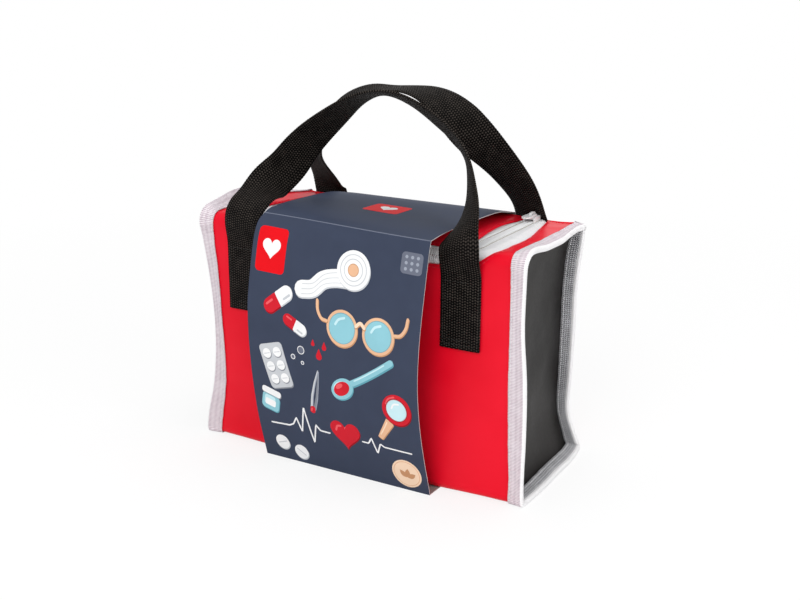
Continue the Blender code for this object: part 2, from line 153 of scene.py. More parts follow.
def section(s):
    """Place (y, z) and outward direction (y, z) at a distance round the section."""
    s = np.mod(np.asarray(s, float), ROUND)
    y, z, ny, nz = (np.zeros_like(s) for _ in range(4))
    for start, end, part in zip(STARTS, STARTS[1:], PARTS):
        here = (s >= start) & (s <= end)
        along = s[here] - start
        if part[0] == "line":
            (y0, z0), (y1, z1) = part[1], part[2]
            length = end - start
            dy, dz = (y1 - y0) / length, (z1 - z0) / length
            y[here], z[here] = y0 + dy * along, z0 + dz * along
            ny[here], nz[here] = dz, -dy
        else:
            angle = part[3] + along / part[2]
            ny[here], nz[here] = np.cos(angle), np.sin(angle)
            y[here] = part[1][0] + part[2] * np.cos(angle)
            z[here] = part[1][1] + part[2] * np.sin(angle)
    return y, z, ny, nz


# How the soft case gives
def places(*rows):
    """Rows of (distance round the section, value...) as arrays."""
    return [np.array(column, float) for column in zip(*rows)]


def on_front(z):
    return S_FRONT_TOP + (TOP - FRONT_RADIUS - z)


def on_rear(z):
    return S_REAR + (z - BOTTOM - BOTTOM_RADIUS)


def on_top(y):
    return HINGE_Y - y


# Round each end: how far the bound edge and its seam stand out along X, and how far the edge
# stands off the section.
LEFT_FLARE = places(
    (on_top(53), -10.5, -9.0, -1.5),
    (on_top(40), -4.5, -6.0, 1.5),
    (on_top(28), -1.5, -3.5, 6.0),
    (on_top(10), -1.0, -1.5, 10.5),
    (on_top(-30), 1.0, 0.5, 9.0),
    (on_top(-50), 2.5, 2.0, 5.0),
    (on_front(165), 1.5, 1.8, 2.5),
    (on_front(131), -3.0, -0.8, 0.5),
    (on_front(91), -6.2, -2.5, 0.0),
    (on_front(42), -2.6, -3.6, 0.5),
    (on_front(14), 3.5, 1.0, 1.5),
    (S_FLOOR, 5.0, 3.0, 1.8),
    (S_FLOOR + 49, 2.0, 1.0, 0.0),
    (S_FLOOR_END, -1.0, -1.0, 0.5),
    (on_rear(40), -9.0, -8.5, 0.5),
    (on_rear(90), -10.5, -9.0, 0.0),
    (on_rear(140), -10.8, -9.0, 0.5),
    (on_rear(165), -11.0, -9.0, 0.5),
)
RIGHT_FLARE = places(
    (on_top(53), -2.4, 0.5, -1.6),
    (on_top(40), -2.2, 1.6, -0.9),
    (on_top(22), -1.2, 2.2, -0.8),
    (on_top(4), 0.8, 2.2, -0.8),
    (on_top(-14), 1.0, 2.2, -0.6),
    (on_top(-34), 2.0, 2.2, 2.2),
    (on_top(-50), 3.3, 2.5, 3.5),
    (on_front(160), 1.8, 2.9, 1.0),
    (on_front(126), 1.1, 2.9, 0.2),
    (on_front(88), 3.8, 2.9, 0.2),
    (on_front(47), 4.2, 3.8, 0.2),
    (on_front(12), 4.0, 5.0, 0.9),
    (S_FLOOR, 5.0, 4.5, 1.8),
    (S_FLOOR + 49, 5.0, 3.0, 0.0),
    (S_FLOOR_END, 0.5, 0.0, 0.4),
    (on_rear(30), -10.0, -8.5, -0.5),
    (on_rear(59), -9.0, -8.8, 0.0),
    (on_rear(100), -8.6, -8.6, 0.5),
    (on_rear(131), -7.5, -8.0, 0.5),
    (on_rear(164), -4.2, -4.4, 0.8),
)


FLANGE_WAVE = 1.5


def flange_waves(s, side):
    """Uneven lift of a bound flange along the top, the bottom and the rear, with a calm front."""
    waves = ripple_many(s, 0 * s + 90 * side, 26.0, 40.0 + side)
    on_the_front = smoothstep(S_FRONT_TOP - 6, S_FRONT_TOP + 8, s) * smoothstep(S_FLOOR + 4, S_FLOOR - 8, s)
    return FLANGE_WAVE * waves * (1 - on_the_front)


def flare(x, s):
    """Shift along X and off the section at a place on the case, and how near the end it is."""
    x, s = np.broadcast_arrays(np.asarray(x, float), np.asarray(s, float))
    shift, lift = np.zeros(x.shape), np.zeros(x.shape)
    near_edge = np.clip((np.abs(x) - SEAM_X) / (EDGE_X - SEAM_X), 0, 1.2)
    near_seam = smoothstep(84, SEAM_X, np.abs(x))
    for side, table in ((-1, LEFT_FLARE), (1, RIGHT_FLARE)):
        here = np.sign(x) == side
        edge, seam, off = (smooth_table(table[0], column, s[here], ROUND) for column in table[1:])
        share = near_edge[here]
        off = off + flange_waves(s[here], side) * share
        shift[here] = side * near_seam[here] * (seam * (1 - share) + edge * share)
        rise = 0.88 * smoothstep(-0.25, 1.0, share) * smoothstep(96, SEAM_X, np.abs(x[here]))
        lift[here] = off * (0.12 * near_seam[here] ** 2 + rise)
    return shift, lift


def swell(x, s):
    """How far the filled case bulges or sinks between its seams."""
    x, s = np.broadcast_arrays(np.asarray(x, float), np.asarray(s, float))
    y, z, ny, nz = section(s)
    across = np.clip(1 - (np.abs(x) / 120) ** 4, 0, 1)
    front = np.clip(-ny, 0, 1) * (0.9 + 3.8 * bell(z, 48, 62)) * across
    outside_band = smoothstep(72, 88, np.abs(x)) * across
    rear = np.clip(ny, 0, 1) * outside_band * (0.5 + 2.2 * bell(z, 70, 60))
    near_end = smoothstep(103, 118, np.abs(x))
    beside_zip = 1 - bell(np.abs(x), CHAIN_X, 15)
    top = -2.3 + 3.4 * near_end * bell(y, -36, 20) - bell(y, 56, 16) * beside_zip
    top = np.clip(nz, 0, 1) * outside_band * top
    zip_hump = np.clip(nz, 0, 1) * 0.6 * bell(np.abs(x), CHAIN_X, 12) * smoothstep(-52, -20, y)
    return front + rear + top + zip_hump


def creases(x, s):
    """Small waves in the coated fabric, stronger next to the bound seams."""
    broad = ripple_many(x, s, 46.0, 3.1) * 0.55
    near_seam = smoothstep(70, SEAM_X, np.abs(x))
    pucker = ripple_many(np.asarray(x) * 0.35, s, 9.0, 7.7) * 0.35 * near_seam
    on_top_face = smoothstep(S_FRONT_TOP, S_FRONT_TOP - 25, s)
    beside_zip = 1 - 0.85 * bell(np.abs(x), CHAIN_X, 13) * on_top_face
    return (broad + pucker) * smoothstep(131, 124, np.abs(x)) * beside_zip


def on_case(x, s, height=0.0):
    """The point of the soft case at x and s, the given height off its outer surface."""
    x, s, height = np.broadcast_arrays(*(np.asarray(a, float) for a in (x, s, height)))
    y, z, ny, nz = section(s)
    shift, lift = flare(x, s)
    off = height + lift + swell(x, s) + creases(x, s)
    z = np.maximum(z + nz * off, 0.45 + np.where(height > 0, 0, -height))
    return np.stack([x + shift, y + ny * off, z], -1)


# Meshes
def make_object(name, verts, faces, materials, body=None, smooth=True, weave=None):
    """A mesh object from points in millimetres; weave holds cloth coordinates for its material."""
    mesh = bpy.data.meshes.new(name)
    mesh.from_pydata((np.asarray(verts, float) * MM).tolist(), [], faces)
    if weave is not None:
        attribute = mesh.attributes.new("weave", "FLOAT_VECTOR", "POINT")
        flat = np.zeros((len(verts), 3), np.float32)
        flat[:, : weave.shape[-1]] = weave
        attribute.data.foreach_set("vector", flat.ravel())
    for material in materials if isinstance(materials, (list, tuple)) else [materials]:
        mesh.materials.append(material)
    mesh.shade_smooth() if smooth else mesh.shade_flat()
    mesh.update()
    obj = bpy.data.objects.new(name, mesh)
    bpy.context.scene.collection.objects.link(obj)
    if body:
        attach(obj, body)
    return obj


def grid_faces(rows, columns, close_rows=False, close_columns=False, start=0, flip=False):
    faces = []
    for r in range(rows if close_rows else rows - 1):
        for c in range(columns if close_columns else columns - 1):
            r2, c2 = (r + 1) % rows, (c + 1) % columns
            face = (start + r * columns + c, start + r * columns + c2,
                    start + r2 * columns + c2, start + r2 * columns + c)
            faces.append(face[::-1] if flip else face)
    return faces


def capped_tube(rows, columns, start):
    """Faces of a tube of rings with both ends closed."""
    last = start + columns * (rows - 1)
    return grid_faces(rows, columns, False, True, start) + [
        tuple(range(start, start + columns))[::-1], tuple(range(last, last + columns))]


def sweep(name, loops, materials, body=None, ring=False, weave=None, smooth=True):
    """Closed cross-sections joined into a solid; capped at both ends unless it is a ring."""
    loops = np.asarray(loops, float)
    rows, columns = loops.shape[:2]
    faces = grid_faces(rows, columns, ring, True)
    if not ring:
        faces.append(tuple(range(columns))[::-1])
        faces.append(tuple(range((rows - 1) * columns, rows * columns)))
    flat = None if weave is None else np.asarray(weave, float).reshape(rows * columns, -1)
    return make_object(name, loops.reshape(-1, 3), faces, materials, body, smooth, flat)


def add_modifier(obj, kind, **settings):
    modifier = obj.modifiers.new(kind.title(), kind)
    for key, value in settings.items():
        setattr(modifier, key, value)
    return modifier


def outward(obj):
    """Turn the faces of a closed mesh outward."""
    mesh_data = bmesh.new()
    mesh_data.from_mesh(obj.data)
    bmesh.ops.recalc_face_normals(mesh_data, faces=mesh_data.faces)
    mesh_data.to_mesh(obj.data)
    mesh_data.free()
    return obj


# Materials
def add_node(tree, kind, *sources, **settings):
    """A node with its settings, its first inputs linked or set, and its first output."""
    node = tree.nodes.new(kind)
    for key, value in settings.items():
        if hasattr(node, key):
            setattr(node, key, value)
        else:
            node.inputs[key.replace("_", " ")].default_value = value
    for socket, source in zip(node.inputs, sources):
        if isinstance(source, (int, float)):
            socket.default_value = source
        elif source is not None:
            tree.links.new(source, socket)
    return node.outputs[0]


def nodes_of(name, colour, roughness, **inputs):
    """A Principled material and a helper that adds linked nodes to it."""
    material = bpy.data.materials.new(name)
    material.use_nodes = True
    tree = material.node_tree
    shader = tree.nodes["Principled BSDF"]
    shader.inputs["Base Color"].default_value = (*colour, 1)
    shader.inputs["Roughness"].default_value = roughness
    for key, value in inputs.items():
        shader.inputs[key.replace("_", " ")].default_value = value

    def add(kind, *sources, **settings):
        return add_node(tree, kind, *sources, **settings)

    def link(source, socket):
        tree.links.new(source, shader.inputs[socket])

    return material, shader, add, link, tree


def math_node(add, operation, first, second=None, third=None):
    return add("ShaderNodeMath", first, second, third, operation=operation)


def noise_node(tree, vector, scale, detail=3.0):
    return add_node(tree, "ShaderNodeTexNoise", vector, Scale=scale, Detail=detail)


def bump(tree, shader, height, distance, strength=1.0):
    node = tree.nodes.new("ShaderNodeBump")
    node.inputs["Distance"].default_value = distance
    node.inputs["Strength"].default_value = strength
    tree.links.new(height, node.inputs["Height"])
    tree.links.new(node.outputs["Normal"], shader.inputs["Normal"])


def object_coordinates(tree):
    return tree.nodes.new("ShaderNodeTexCoord").outputs["Object"]


def colour_ramp(tree, factor, *stops):
    node = tree.nodes.new("ShaderNodeValToRGB")
    tree.links.new(factor, node.inputs["Fac"])
    ramp = node.color_ramp
    while len(ramp.elements) < len(stops):
        ramp.elements.new(0.5)
    for element, (place, colour) in zip(ramp.elements, stops):
        element.position = place
        element.color = (*colour, 1)
    return node.outputs["Color"]


def cloth_axes(tree):
    """Millimetres along and across a woven piece, from its weave attribute."""
    attribute = tree.nodes.new("ShaderNodeAttribute")
    attribute.attribute_name = "weave"
    split = tree.nodes.new("ShaderNodeSeparateXYZ")
    tree.links.new(attribute.outputs["Vector"], split.inputs["Vector"])
    return split.outputs["X"], split.outputs["Y"]


def coated_fabric(name, dark, light, roughness, shine):
    """Smooth coated cloth: a fine grain, broad dents and small changes of sheen and colour."""
    material, shader, add, link, tree = nodes_of(name, light, roughness, Specular_IOR_Level=shine)
    place = object_coordinates(tree)
    broad = noise_node(tree, place, 14, 3)
    fine = noise_node(tree, place, 1900, 2)
    grain = noise_node(tree, place, 420, 3)
    link(colour_ramp(tree, broad, (0.30, dark), (0.62, light)), "Base Color")
    rough = math_node(add, "MULTIPLY_ADD", grain, 0.12, roughness - 0.06)
    link(rough, "Roughness")
    height = math_node(add, "MULTIPLY_ADD", grain, 0.7, math_node(add, "MULTIPLY", fine, 0.3))
    bump(tree, shader, height, 0.00012, 0.55)
    return material


def woven_tape(name, dark, light, rib, column, chevron, distance, roughness=0.75, sheen=0.1,
               shine=0.3, warp=0.35, warps=1, stops=(0.0, 0.75)):
    """Narrow woven tape: ribs across it, crossed by warp columns, or a herringbone."""
    material, shader, add, link, tree = nodes_of(name, light, roughness, Sheen_Weight=sheen,
                                                 Sheen_Roughness=0.5, Specular_IOR_Level=shine)
    along, across = cloth_axes(tree)
    turns = 2 * math.pi
    place = math_node(add, "DIVIDE", across, column)
    cell = math_node(add, "FRACT", place)
    slant = math_node(add, "ABSOLUTE", math_node(add, "SUBTRACT", cell, 0.5))
    shifted = math_node(add, "MULTIPLY_ADD", slant, chevron, along)
    rib_wave = math_node(add, "SINE", math_node(add, "MULTIPLY", shifted, turns / rib))
    warp_wave = math_node(add, "COSINE", math_node(add, "MULTIPLY", place, turns * warps))
    woven = math_node(add, "MULTIPLY_ADD", warp_wave, warp, rib_wave)
    fuzz = noise_node(tree, object_coordinates(tree), 2600, 2)
    height = math_node(add, "MULTIPLY_ADD", fuzz, 0.8, woven)
    spread = math_node(add, "MULTIPLY_ADD", woven, 0.30, 0.5)
    patchy = noise_node(tree, object_coordinates(tree), 160, 3)
    factor = math_node(add, "MULTIPLY_ADD", patchy, 0.5, math_node(add, "SUBTRACT", spread, 0.25))
    link(colour_ramp(tree, factor, (stops[0], dark), (stops[1], light)), "Base Color")
    bump(tree, shader, height, distance, 0.8)
    return material


def plain(name, colour, roughness, grain=900, depth=0.00004, **inputs):
    """Moulded plastic or print: an even colour with a little grain and uneven sheen."""
    material, shader, add, link, tree = nodes_of(name, colour, roughness, **inputs)
    place = object_coordinates(tree)
    cloudy = noise_node(tree, place, 60, 3)
    dim = tuple(c * 0.93 for c in colour)
    link(colour_ramp(tree, cloudy, (0.3, dim), (0.65, colour)), "Base Color")
    link(math_node(add, "MULTIPLY_ADD", cloudy, 0.10, roughness - 0.05), "Roughness")
    bump(tree, shader, noise_node(tree, place, grain, 3), depth, 0.5)
    return material


RED = coated_fabric("red_coated", (0.71, 0.002, 0.015), (0.79, 0.007, 0.024), 0.33, 0.10)
CHARCOAL = coated_fabric("charcoal_coated", (0.0090, 0.0078, 0.0072), (0.0165, 0.0145, 0.0135),
                         0.42, 0.09)
INSIDE = coated_fabric("inside_cloth", (0.30, 0.02, 0.03), (0.36, 0.03, 0.04), 0.7, 0.3)
BINDING = woven_tape("binding_tape", (0.50, 0.39, 0.46), (0.90, 0.83, 0.87), 1.05, 3.6, 0.0, 0.00026)
# A lighter, whiter copy of the binding tape for its rounded fold: a painted highlight where light falls on
# the fold.
BINDING_FOLD_HIGHLIGHT = woven_tape("binding_fold_highlight", (0.80, 0.79, 0.80), (0.95, 0.94, 0.95), 1.05, 3.6, 0.0,
                          0.00014)
BINDING_INNER = woven_tape("binding_inner", (0.07, 0.07, 0.08), (0.80, 0.80, 0.83), 1.5, 1.7, 1.5,
                           0.00032, warp=0.5, stops=(0.12, 0.80))
ZIP_TAPE = woven_tape("zip_tape", (0.70, 0.70, 0.72), (0.92, 0.92, 0.93), 0.7, 0.9, 0.5, 0.00010,
                      roughness=0.55)
WEBBING = woven_tape("black_webbing", (0.0012, 0.0009, 0.0008), (0.060, 0.050, 0.043), 1.9, 3.8, 1.9,
                     0.00032, roughness=0.66, sheen=0.0, shine=0.06, warp=0.8, warps=2,
                     stops=(0.50, 1.0))
ZIP_PLASTIC = plain("zip_plastic", (0.86, 0.86, 0.87), 0.32)
CARD = plain("slate_card", (0.046, 0.058, 0.095), 0.55, grain=1500, depth=0.00002,
             Specular_IOR_Level=0.05)
CARD_INSIDE = plain("card_inside", (0.30, 0.27, 0.25), 0.8)
CARD_EDGE = plain("card_edge", (0.62, 0.60, 0.60), 0.8)
# A lighter, shinier strip along the card's fold: a painted highlight on the crease.
CARD_CREASE_HIGHLIGHT = plain("card_crease_highlight", (0.150, 0.170, 0.230), 0.55, Specular_IOR_Level=0.2)
THREAD_WHITE = plain("white_thread", (0.88, 0.87, 0.88), 0.6)
THREAD_FLAX = plain("flax_thread", (0.46, 0.41, 0.35), 0.7)
THREAD_RED = plain("red_thread", (0.62, 0.012, 0.03), 0.55)
THREAD_BLACK = plain("black_thread", (0.010, 0.009, 0.008), 0.55)


# The zip's outlines
def u_width(s, widths):
    """Half width of a U at s, from its table of (s, half width)."""
    keys, values = zip(*widths)
    return smooth_table(keys, values, s)


def u_distance(x, s, outline):
    """Signed distance from a U with rounded corners, open at the hinge line."""
    half, widths, front, radius = outline
    x = np.asarray(x, float)
    x = np.where(x < 0, x * half / (half - ZIP_SHIFT), x)
    qx = np.abs(x) * half / u_width(s, widths) - (half - radius)
    qs = s - (front - radius)
    corner = np.hypot(np.maximum(qx, 0), np.maximum(qs, 0))
    return corner + np.minimum(np.maximum(qx, qs), 0) - radius


def u_line(outline, start, step=2.0):
    """Points (x, s) of that U from the rear right round the front to the rear left."""
    half, widths, front, radius = outline
    points = []
    side = max(2, round((front - radius - start) / step))
    bend = max(6, round(radius * math.pi / 2 / step))
    across = max(2, round(2 * (half - radius) / step))
    for share in np.linspace(0, 1, side, endpoint=False):
        points.append((half, start + share * (front - radius - start)))
    for angle in np.linspace(0, math.pi / 2, bend, endpoint=False):
        points.append((half - radius + radius * math.cos(angle),
                       front - radius + radius * math.sin(angle)))
    for share in np.linspace(0, 0.5, across // 2 + 1):
        points.append(((half - radius) * (1 - 2 * share), front))
    right = np.array(points)
    line = np.vstack([right, right[-2::-1] * (-1, 1)])
    line[:, 0] *= u_width(line[:, 1], widths) / half
    line[:, 0] = np.where(line[:, 0] < 0, line[:, 0] * (half - ZIP_SHIFT) / half, line[:, 0])
    return line


def evenly(points, step):
    """Resample a line of points at even distances."""
    points = np.asarray(points, float)
    lengths = run_lengths(points)
    wanted = np.linspace(0, lengths[-1], max(2, round(lengths[-1] / step) + 1))
    return read_off(points, lengths, wanted), wanted


# The zip's outlines: half width, its table, how far they reach down the front, corner radius
ZIP_SHIFT = 2.5             # the left runs lie this much nearer to the middle
WINDOW = (109.0, ((0, 99), (13, 101.5), (32, 104.5), (52, 108), (75, 109)), S_CHAIN + 5.8, 28.0)
LID_EDGE = (80.5, ((0, 85), (9, 81.5), (26, 77.5), (46, 77.3), (58, 78.3), (76, 80.5)),
            S_CHAIN - 8.0, 15.0)
CHAIN = (CHAIN_X, ((0, CHAIN_X), (80, CHAIN_X)), S_CHAIN, 22.0)
LID_REACH = 85.0
REAR_START = 0.4
LINE_STEP = 1.6
TAPE_COLUMNS = 23
TAPE_THICK = 0.45
TAPE_HEM = 2.5
COIL_GAP = 0.6              # the tape starts this far from the chain line
STITCH_SIDE, COIL_STITCH_SIDE = 1.9, 4.3
TOOTH_PITCH = 1.55
TOOTH_LIFT = 0.28
# A tooth's rings: reach from the chain line, half width, half height
TOOTH_RINGS = ((-0.30, 0.10, 0.30), (0.25, 0.40, 0.55), (1.6, 0.50, 0.62), (2.7, 0.34, 0.42),
               (3.1, 0.12, 0.20))
TOOTH_SIDES = 8


def u_sides(line):
    """Outward direction (x, s) at each point of a U line."""
    ahead = headings(line)
    return np.stack([ahead[:, 1], -ahead[:, 0]], -1)


# Coated fabric panels
def trimmed_grid(xs, ss, outline, keep_outside):
    """A grid over (x, s) cut along an outline, with its rim pulled onto that line."""
    def distance(x, s):
        return u_distance(x, s, outline)

    grid_x, grid_s = np.meshgrid(xs, ss, indexing="ij")
    middle_x = (grid_x[:-1, :-1] + grid_x[1:, 1:]) / 2
    middle_s = (grid_s[:-1, :-1] + grid_s[1:, 1:]) / 2
    sign = 1 if keep_outside else -1
    kept = distance(middle_x, middle_s) * sign > 0
    use, drop = np.zeros(grid_x.shape, bool), np.zeros(grid_x.shape, bool)
    for dx in (0, 1):
        for ds in (0, 1):
            view = (slice(dx, dx + kept.shape[0]), slice(ds, ds + kept.shape[1]))
            use[view] |= kept
            drop[view] |= ~kept
    rim = use & (drop | (distance(grid_x, grid_s) * sign < 0))
    nudge = 0.05
    for _ in range(3):
        value = distance(grid_x, grid_s)
        slope_x = (distance(grid_x + nudge, grid_s) - distance(grid_x - nudge, grid_s)) / (2 * nudge)
        slope_s = (distance(grid_x, grid_s + nudge) - distance(grid_x, grid_s - nudge)) / (2 * nudge)
        grid_x = np.where(rim, grid_x - value * slope_x, grid_x)
        grid_s = np.where(rim, grid_s - value * slope_s, grid_s)
    index = np.cumsum(use.ravel()).reshape(use.shape) - 1
    faces = [(index[i, j], index[i, j + 1], index[i + 1, j + 1], index[i + 1, j])
             for i, j in zip(*np.nonzero(kept))]
    return grid_x[use], grid_s[use], [tuple(int(i) for i in face) for face in faces]


def panel(name, xs, ss, outline, keep_outside):
    x, s, faces = trimmed_grid(xs, ss, outline, keep_outside)
    obj = make_object(name, on_case(x, s), faces, [RED, INSIDE])
    add_modifier(obj, "SOLIDIFY", thickness=FABRIC * MM, offset=-1, use_even_offset=False,
                 material_offset=1, material_offset_rim=0)
    return obj


def build_fabric():
    xs = np.linspace(-EDGE_X + 1, EDGE_X - 1, 123)
    wrap_ss = np.linspace(REAR_START, ROUND - 0.1, 252)
    wrap = panel("wrap_fabric", xs, wrap_ss, WINDOW, True)
    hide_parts("body_wrap")
    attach(wrap, "case")

    lid_xs = np.linspace(-LID_REACH, LID_REACH, 77)
    lid_ss = np.linspace(REAR_START, LID_EDGE[2], 54)
    lid = panel("lid_fabric", lid_xs, lid_ss, LID_EDGE, False)
    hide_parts("lid_panel")
    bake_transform(lid)


def strip_along(name, line, profile, material, body):
    """A closed profile of (sideways, height) points carried along a line of (x, s) points."""
    sides = u_sides(line)
    loops = []
    for side, height in profile:
        at = line + sides * side
        loops.append(on_case(at[:, 0], at[:, 1], height))
    return outward(sweep(name, np.stack(loops, 1), material, body))


def zip_line(outline, step=LINE_STEP, start=0.3):
    """Even points along one of the zip's outlines, and their distances along it."""
    return evenly(u_line(outline, REAR_START + start), step)


def build_tape(name, node, sign, edge_line, body):
    """Tape from the coil out under the fabric, a little slack, with ridges along it."""
    base = zip_line(CHAIN)[0]
    shares = np.linspace(0, 1, len(base))
    target = np.stack([np.interp(shares, np.linspace(0, 1, len(edge_line)), column)
                       for column in edge_line.T], -1)
    away = target - base
    length = np.linalg.norm(away, axis=1)[:, None]
    away = away * (length + TAPE_HEM) / length
    along = run_lengths(base)
    slack = ripple_many(base[:, 0], base[:, 1], 31.0, 60 + sign)
    start = COIL_GAP / np.linalg.norm(away, axis=1)[:, None]
    outer_rows, inner_rows, weave = [], [], []
    for share in np.linspace(0, 1, TAPE_COLUMNS):
        at = base + away * (start + (1 - start) * share)
        puff = 0.5 * math.sin(math.pi * min(1, share * 1.15)) - 1.5 * share**3 - 0.35
        ridges = math.cos(2 * math.pi * (share * 1.75 - 0.85)) * smoothstep(0.12, 0.35, share)
        puff = puff + 0.62 * ridges * smoothstep(1.0, 0.8, share) * (0.75 + 0.5 * slack)
        wobble = ripple_many(at[:, 0] * 1.2, at[:, 1] * 1.2, 13.0, 21 + sign)
        height = puff + 0.28 * wobble * math.sin(math.pi * share)
        outer_rows.append(on_case(at[:, 0], at[:, 1], height))
        inner_rows.append(on_case(at[:, 0], at[:, 1], height - TAPE_THICK))
        weave.append(np.stack([along, share * length[:, 0]], -1))
    loops = np.stack(outer_rows + inner_rows[::-1], 1)
    obj = outward(sweep(name, loops, ZIP_TAPE, body, weave=np.stack(weave + weave[::-1], 1)))
    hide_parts(node)


def build_teeth(name, node, sign, body, phase):
    """One row of teeth, half a pitch from the other row."""
    line, along = zip_line(CHAIN, 0.25, 0.6)
    sides = u_sides(line) * sign
    ahead = headings(line)
    noted, faces = [], []
    for place in np.arange(TOOTH_PITCH * (0.6 + phase), along[-1] - 1.5, TOOTH_PITCH):
        k = int(np.searchsorted(along, place))
        start = len(noted)
        for reach, half, rise in TOOTH_RINGS:
            for angle in np.linspace(0, 2 * math.pi, TOOTH_SIDES, endpoint=False):
                x, s = line[k] + sides[k] * reach + ahead[k] * half * math.cos(angle)
                noted.append((x, s, TOOTH_LIFT + rise * math.sin(angle)))
        faces += capped_tube(len(TOOTH_RINGS), TOOTH_SIDES, start)
    obj = outward(make_object(name, on_case(*np.array(noted).T), faces, ZIP_PLASTIC, body))
    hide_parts(node)


def build_zip():
    chain = zip_line(CHAIN)[0]
    lip = zip_line(WINDOW)[0]
    inner_lip = zip_line(LID_EDGE)[0]
    build_tape("zip_outer_tape", "zipper_outer_tape", 1, lip, "case")
    build_tape("zip_inner_tape", "zipper_inner_tape", -1, inner_lip, "lid")

    # Turned fabric edges on both sides, with a row of stitches
    fold = np.array([(0.5 * math.cos(a) + 0.15, 0.62 * math.sin(a) - 0.55)
                     for a in np.linspace(0, 2 * math.pi, 10, endpoint=False)])
    edges = (("wrap", lip, 1, "case"), ("lid", inner_lip, -1, "lid"))
    for name, line, sign, body in edges:
        strip = strip_along(name + "_zip_fold", line, fold * (sign, 1), RED, body)
    for name, line, sign, body in edges:
        stitches(name + "_zip_stitches", line, STITCH_SIDE * sign, 0.02, THREAD_RED, body,
                 "red_coated_fabric")
    for name, sign, body in (("outer", 1, "case"), ("inner", -1, "lid")):
        stitches(f"zip_{name}_thread", chain, COIL_STITCH_SIDE * sign, 0.16, THREAD_FLAX, body,
                 "white_zip_tape", length=1.5, gap=0.7, radius=0.24)
    build_teeth("zip_outer_teeth", "zipper_outer_coil", 1, "case", 0.0)
    build_teeth("zip_inner_teeth", "zipper_inner_coil", -1, "lid", 0.5)


THREAD_SIDES = 6


def capsule_rows(centres, directions, normals, length, radius, rings=(-1, -0.72, 0.72, 1)):
    """Short rounded threads: points and faces of all of them."""
    verts, faces = [], []
    for centre, direction, normal in zip(centres, directions, normals):
        across = np.cross(direction, normal)
        start = len(verts)
        for ring in rings:
            size = radius * (0.45 if abs(ring) == 1 else 1.0)
            sink = radius * 0.9 * (1 if abs(ring) == 1 else 0)
            for angle in np.linspace(0, 2 * math.pi, THREAD_SIDES, endpoint=False):
                verts.append(centre + direction * ring * length / 2 + across * size * math.cos(angle)
                             + normal * (size * math.sin(angle) - sink))
        faces += capped_tube(len(rings), THREAD_SIDES, start)
    return verts, faces


def thread_object(name, line, normals, material, body, slot, length=2.6, gap=0.9, radius=0.2):
    """A row of stitches along a line of points in space."""
    lengths = run_lengths(line)
    centres, directions, ups = [], [], []
    for middle in np.arange(length / 2 + gap, lengths[-1] - length / 2, length + gap):
        def at(place, table):
            return np.array([np.interp(place, lengths, column) for column in table.T])
        before, after = at(middle - length / 2, line), at(middle + length / 2, line)
        direction = after - before
        size = np.linalg.norm(direction)
        if size < 1e-6:
            continue
        normal = at(middle, normals)
        direction /= size
        normal -= direction * normal.dot(direction)
        if np.linalg.norm(normal) < 1e-6:
            normal = np.array([0.0, 0.0, -1.0])
        normal /= np.linalg.norm(normal)
        centres.append((before + after) / 2)
        directions.append(direction)
        ups.append(normal)
    verts, faces = capsule_rows(centres, directions, ups, length, radius)
    obj = outward(make_object(name, verts, faces, material, body))
    return obj


def stitches(name, line, side, height, material, body, slot, **sizes):
    at = line + u_sides(line) * side
    points = on_case(at[:, 0], at[:, 1], height)
    raised = on_case(at[:, 0], at[:, 1], height + 1.0)
    return thread_object(name, points, raised - points, material, body, slot, **sizes)


# Ends and their bindings
PANEL_SAG = 2.2
FOLD_HALF = 2.7             # half the width of the plain fold on the binding, which takes the lighter tape colour: a painted highlight
BINDING_POINTS, BINDING_COLUMNS, FOLD_COLUMNS = 560, 9, 7
BINDING_HALF_THICK = 0.32
OUTER_HEIGHT, INNER_HEIGHT = 0.62, -3.2
RIB_SWELL = 0.12
FOLD_MIDDLE, FOLD_RADIUS, FOLD_REACH, FOLD_ANGLE = -1.25, 1.95, 0.78, 75
PANEL_HEIGHT, FLANGE_HEIGHT = -2.4, -1.9


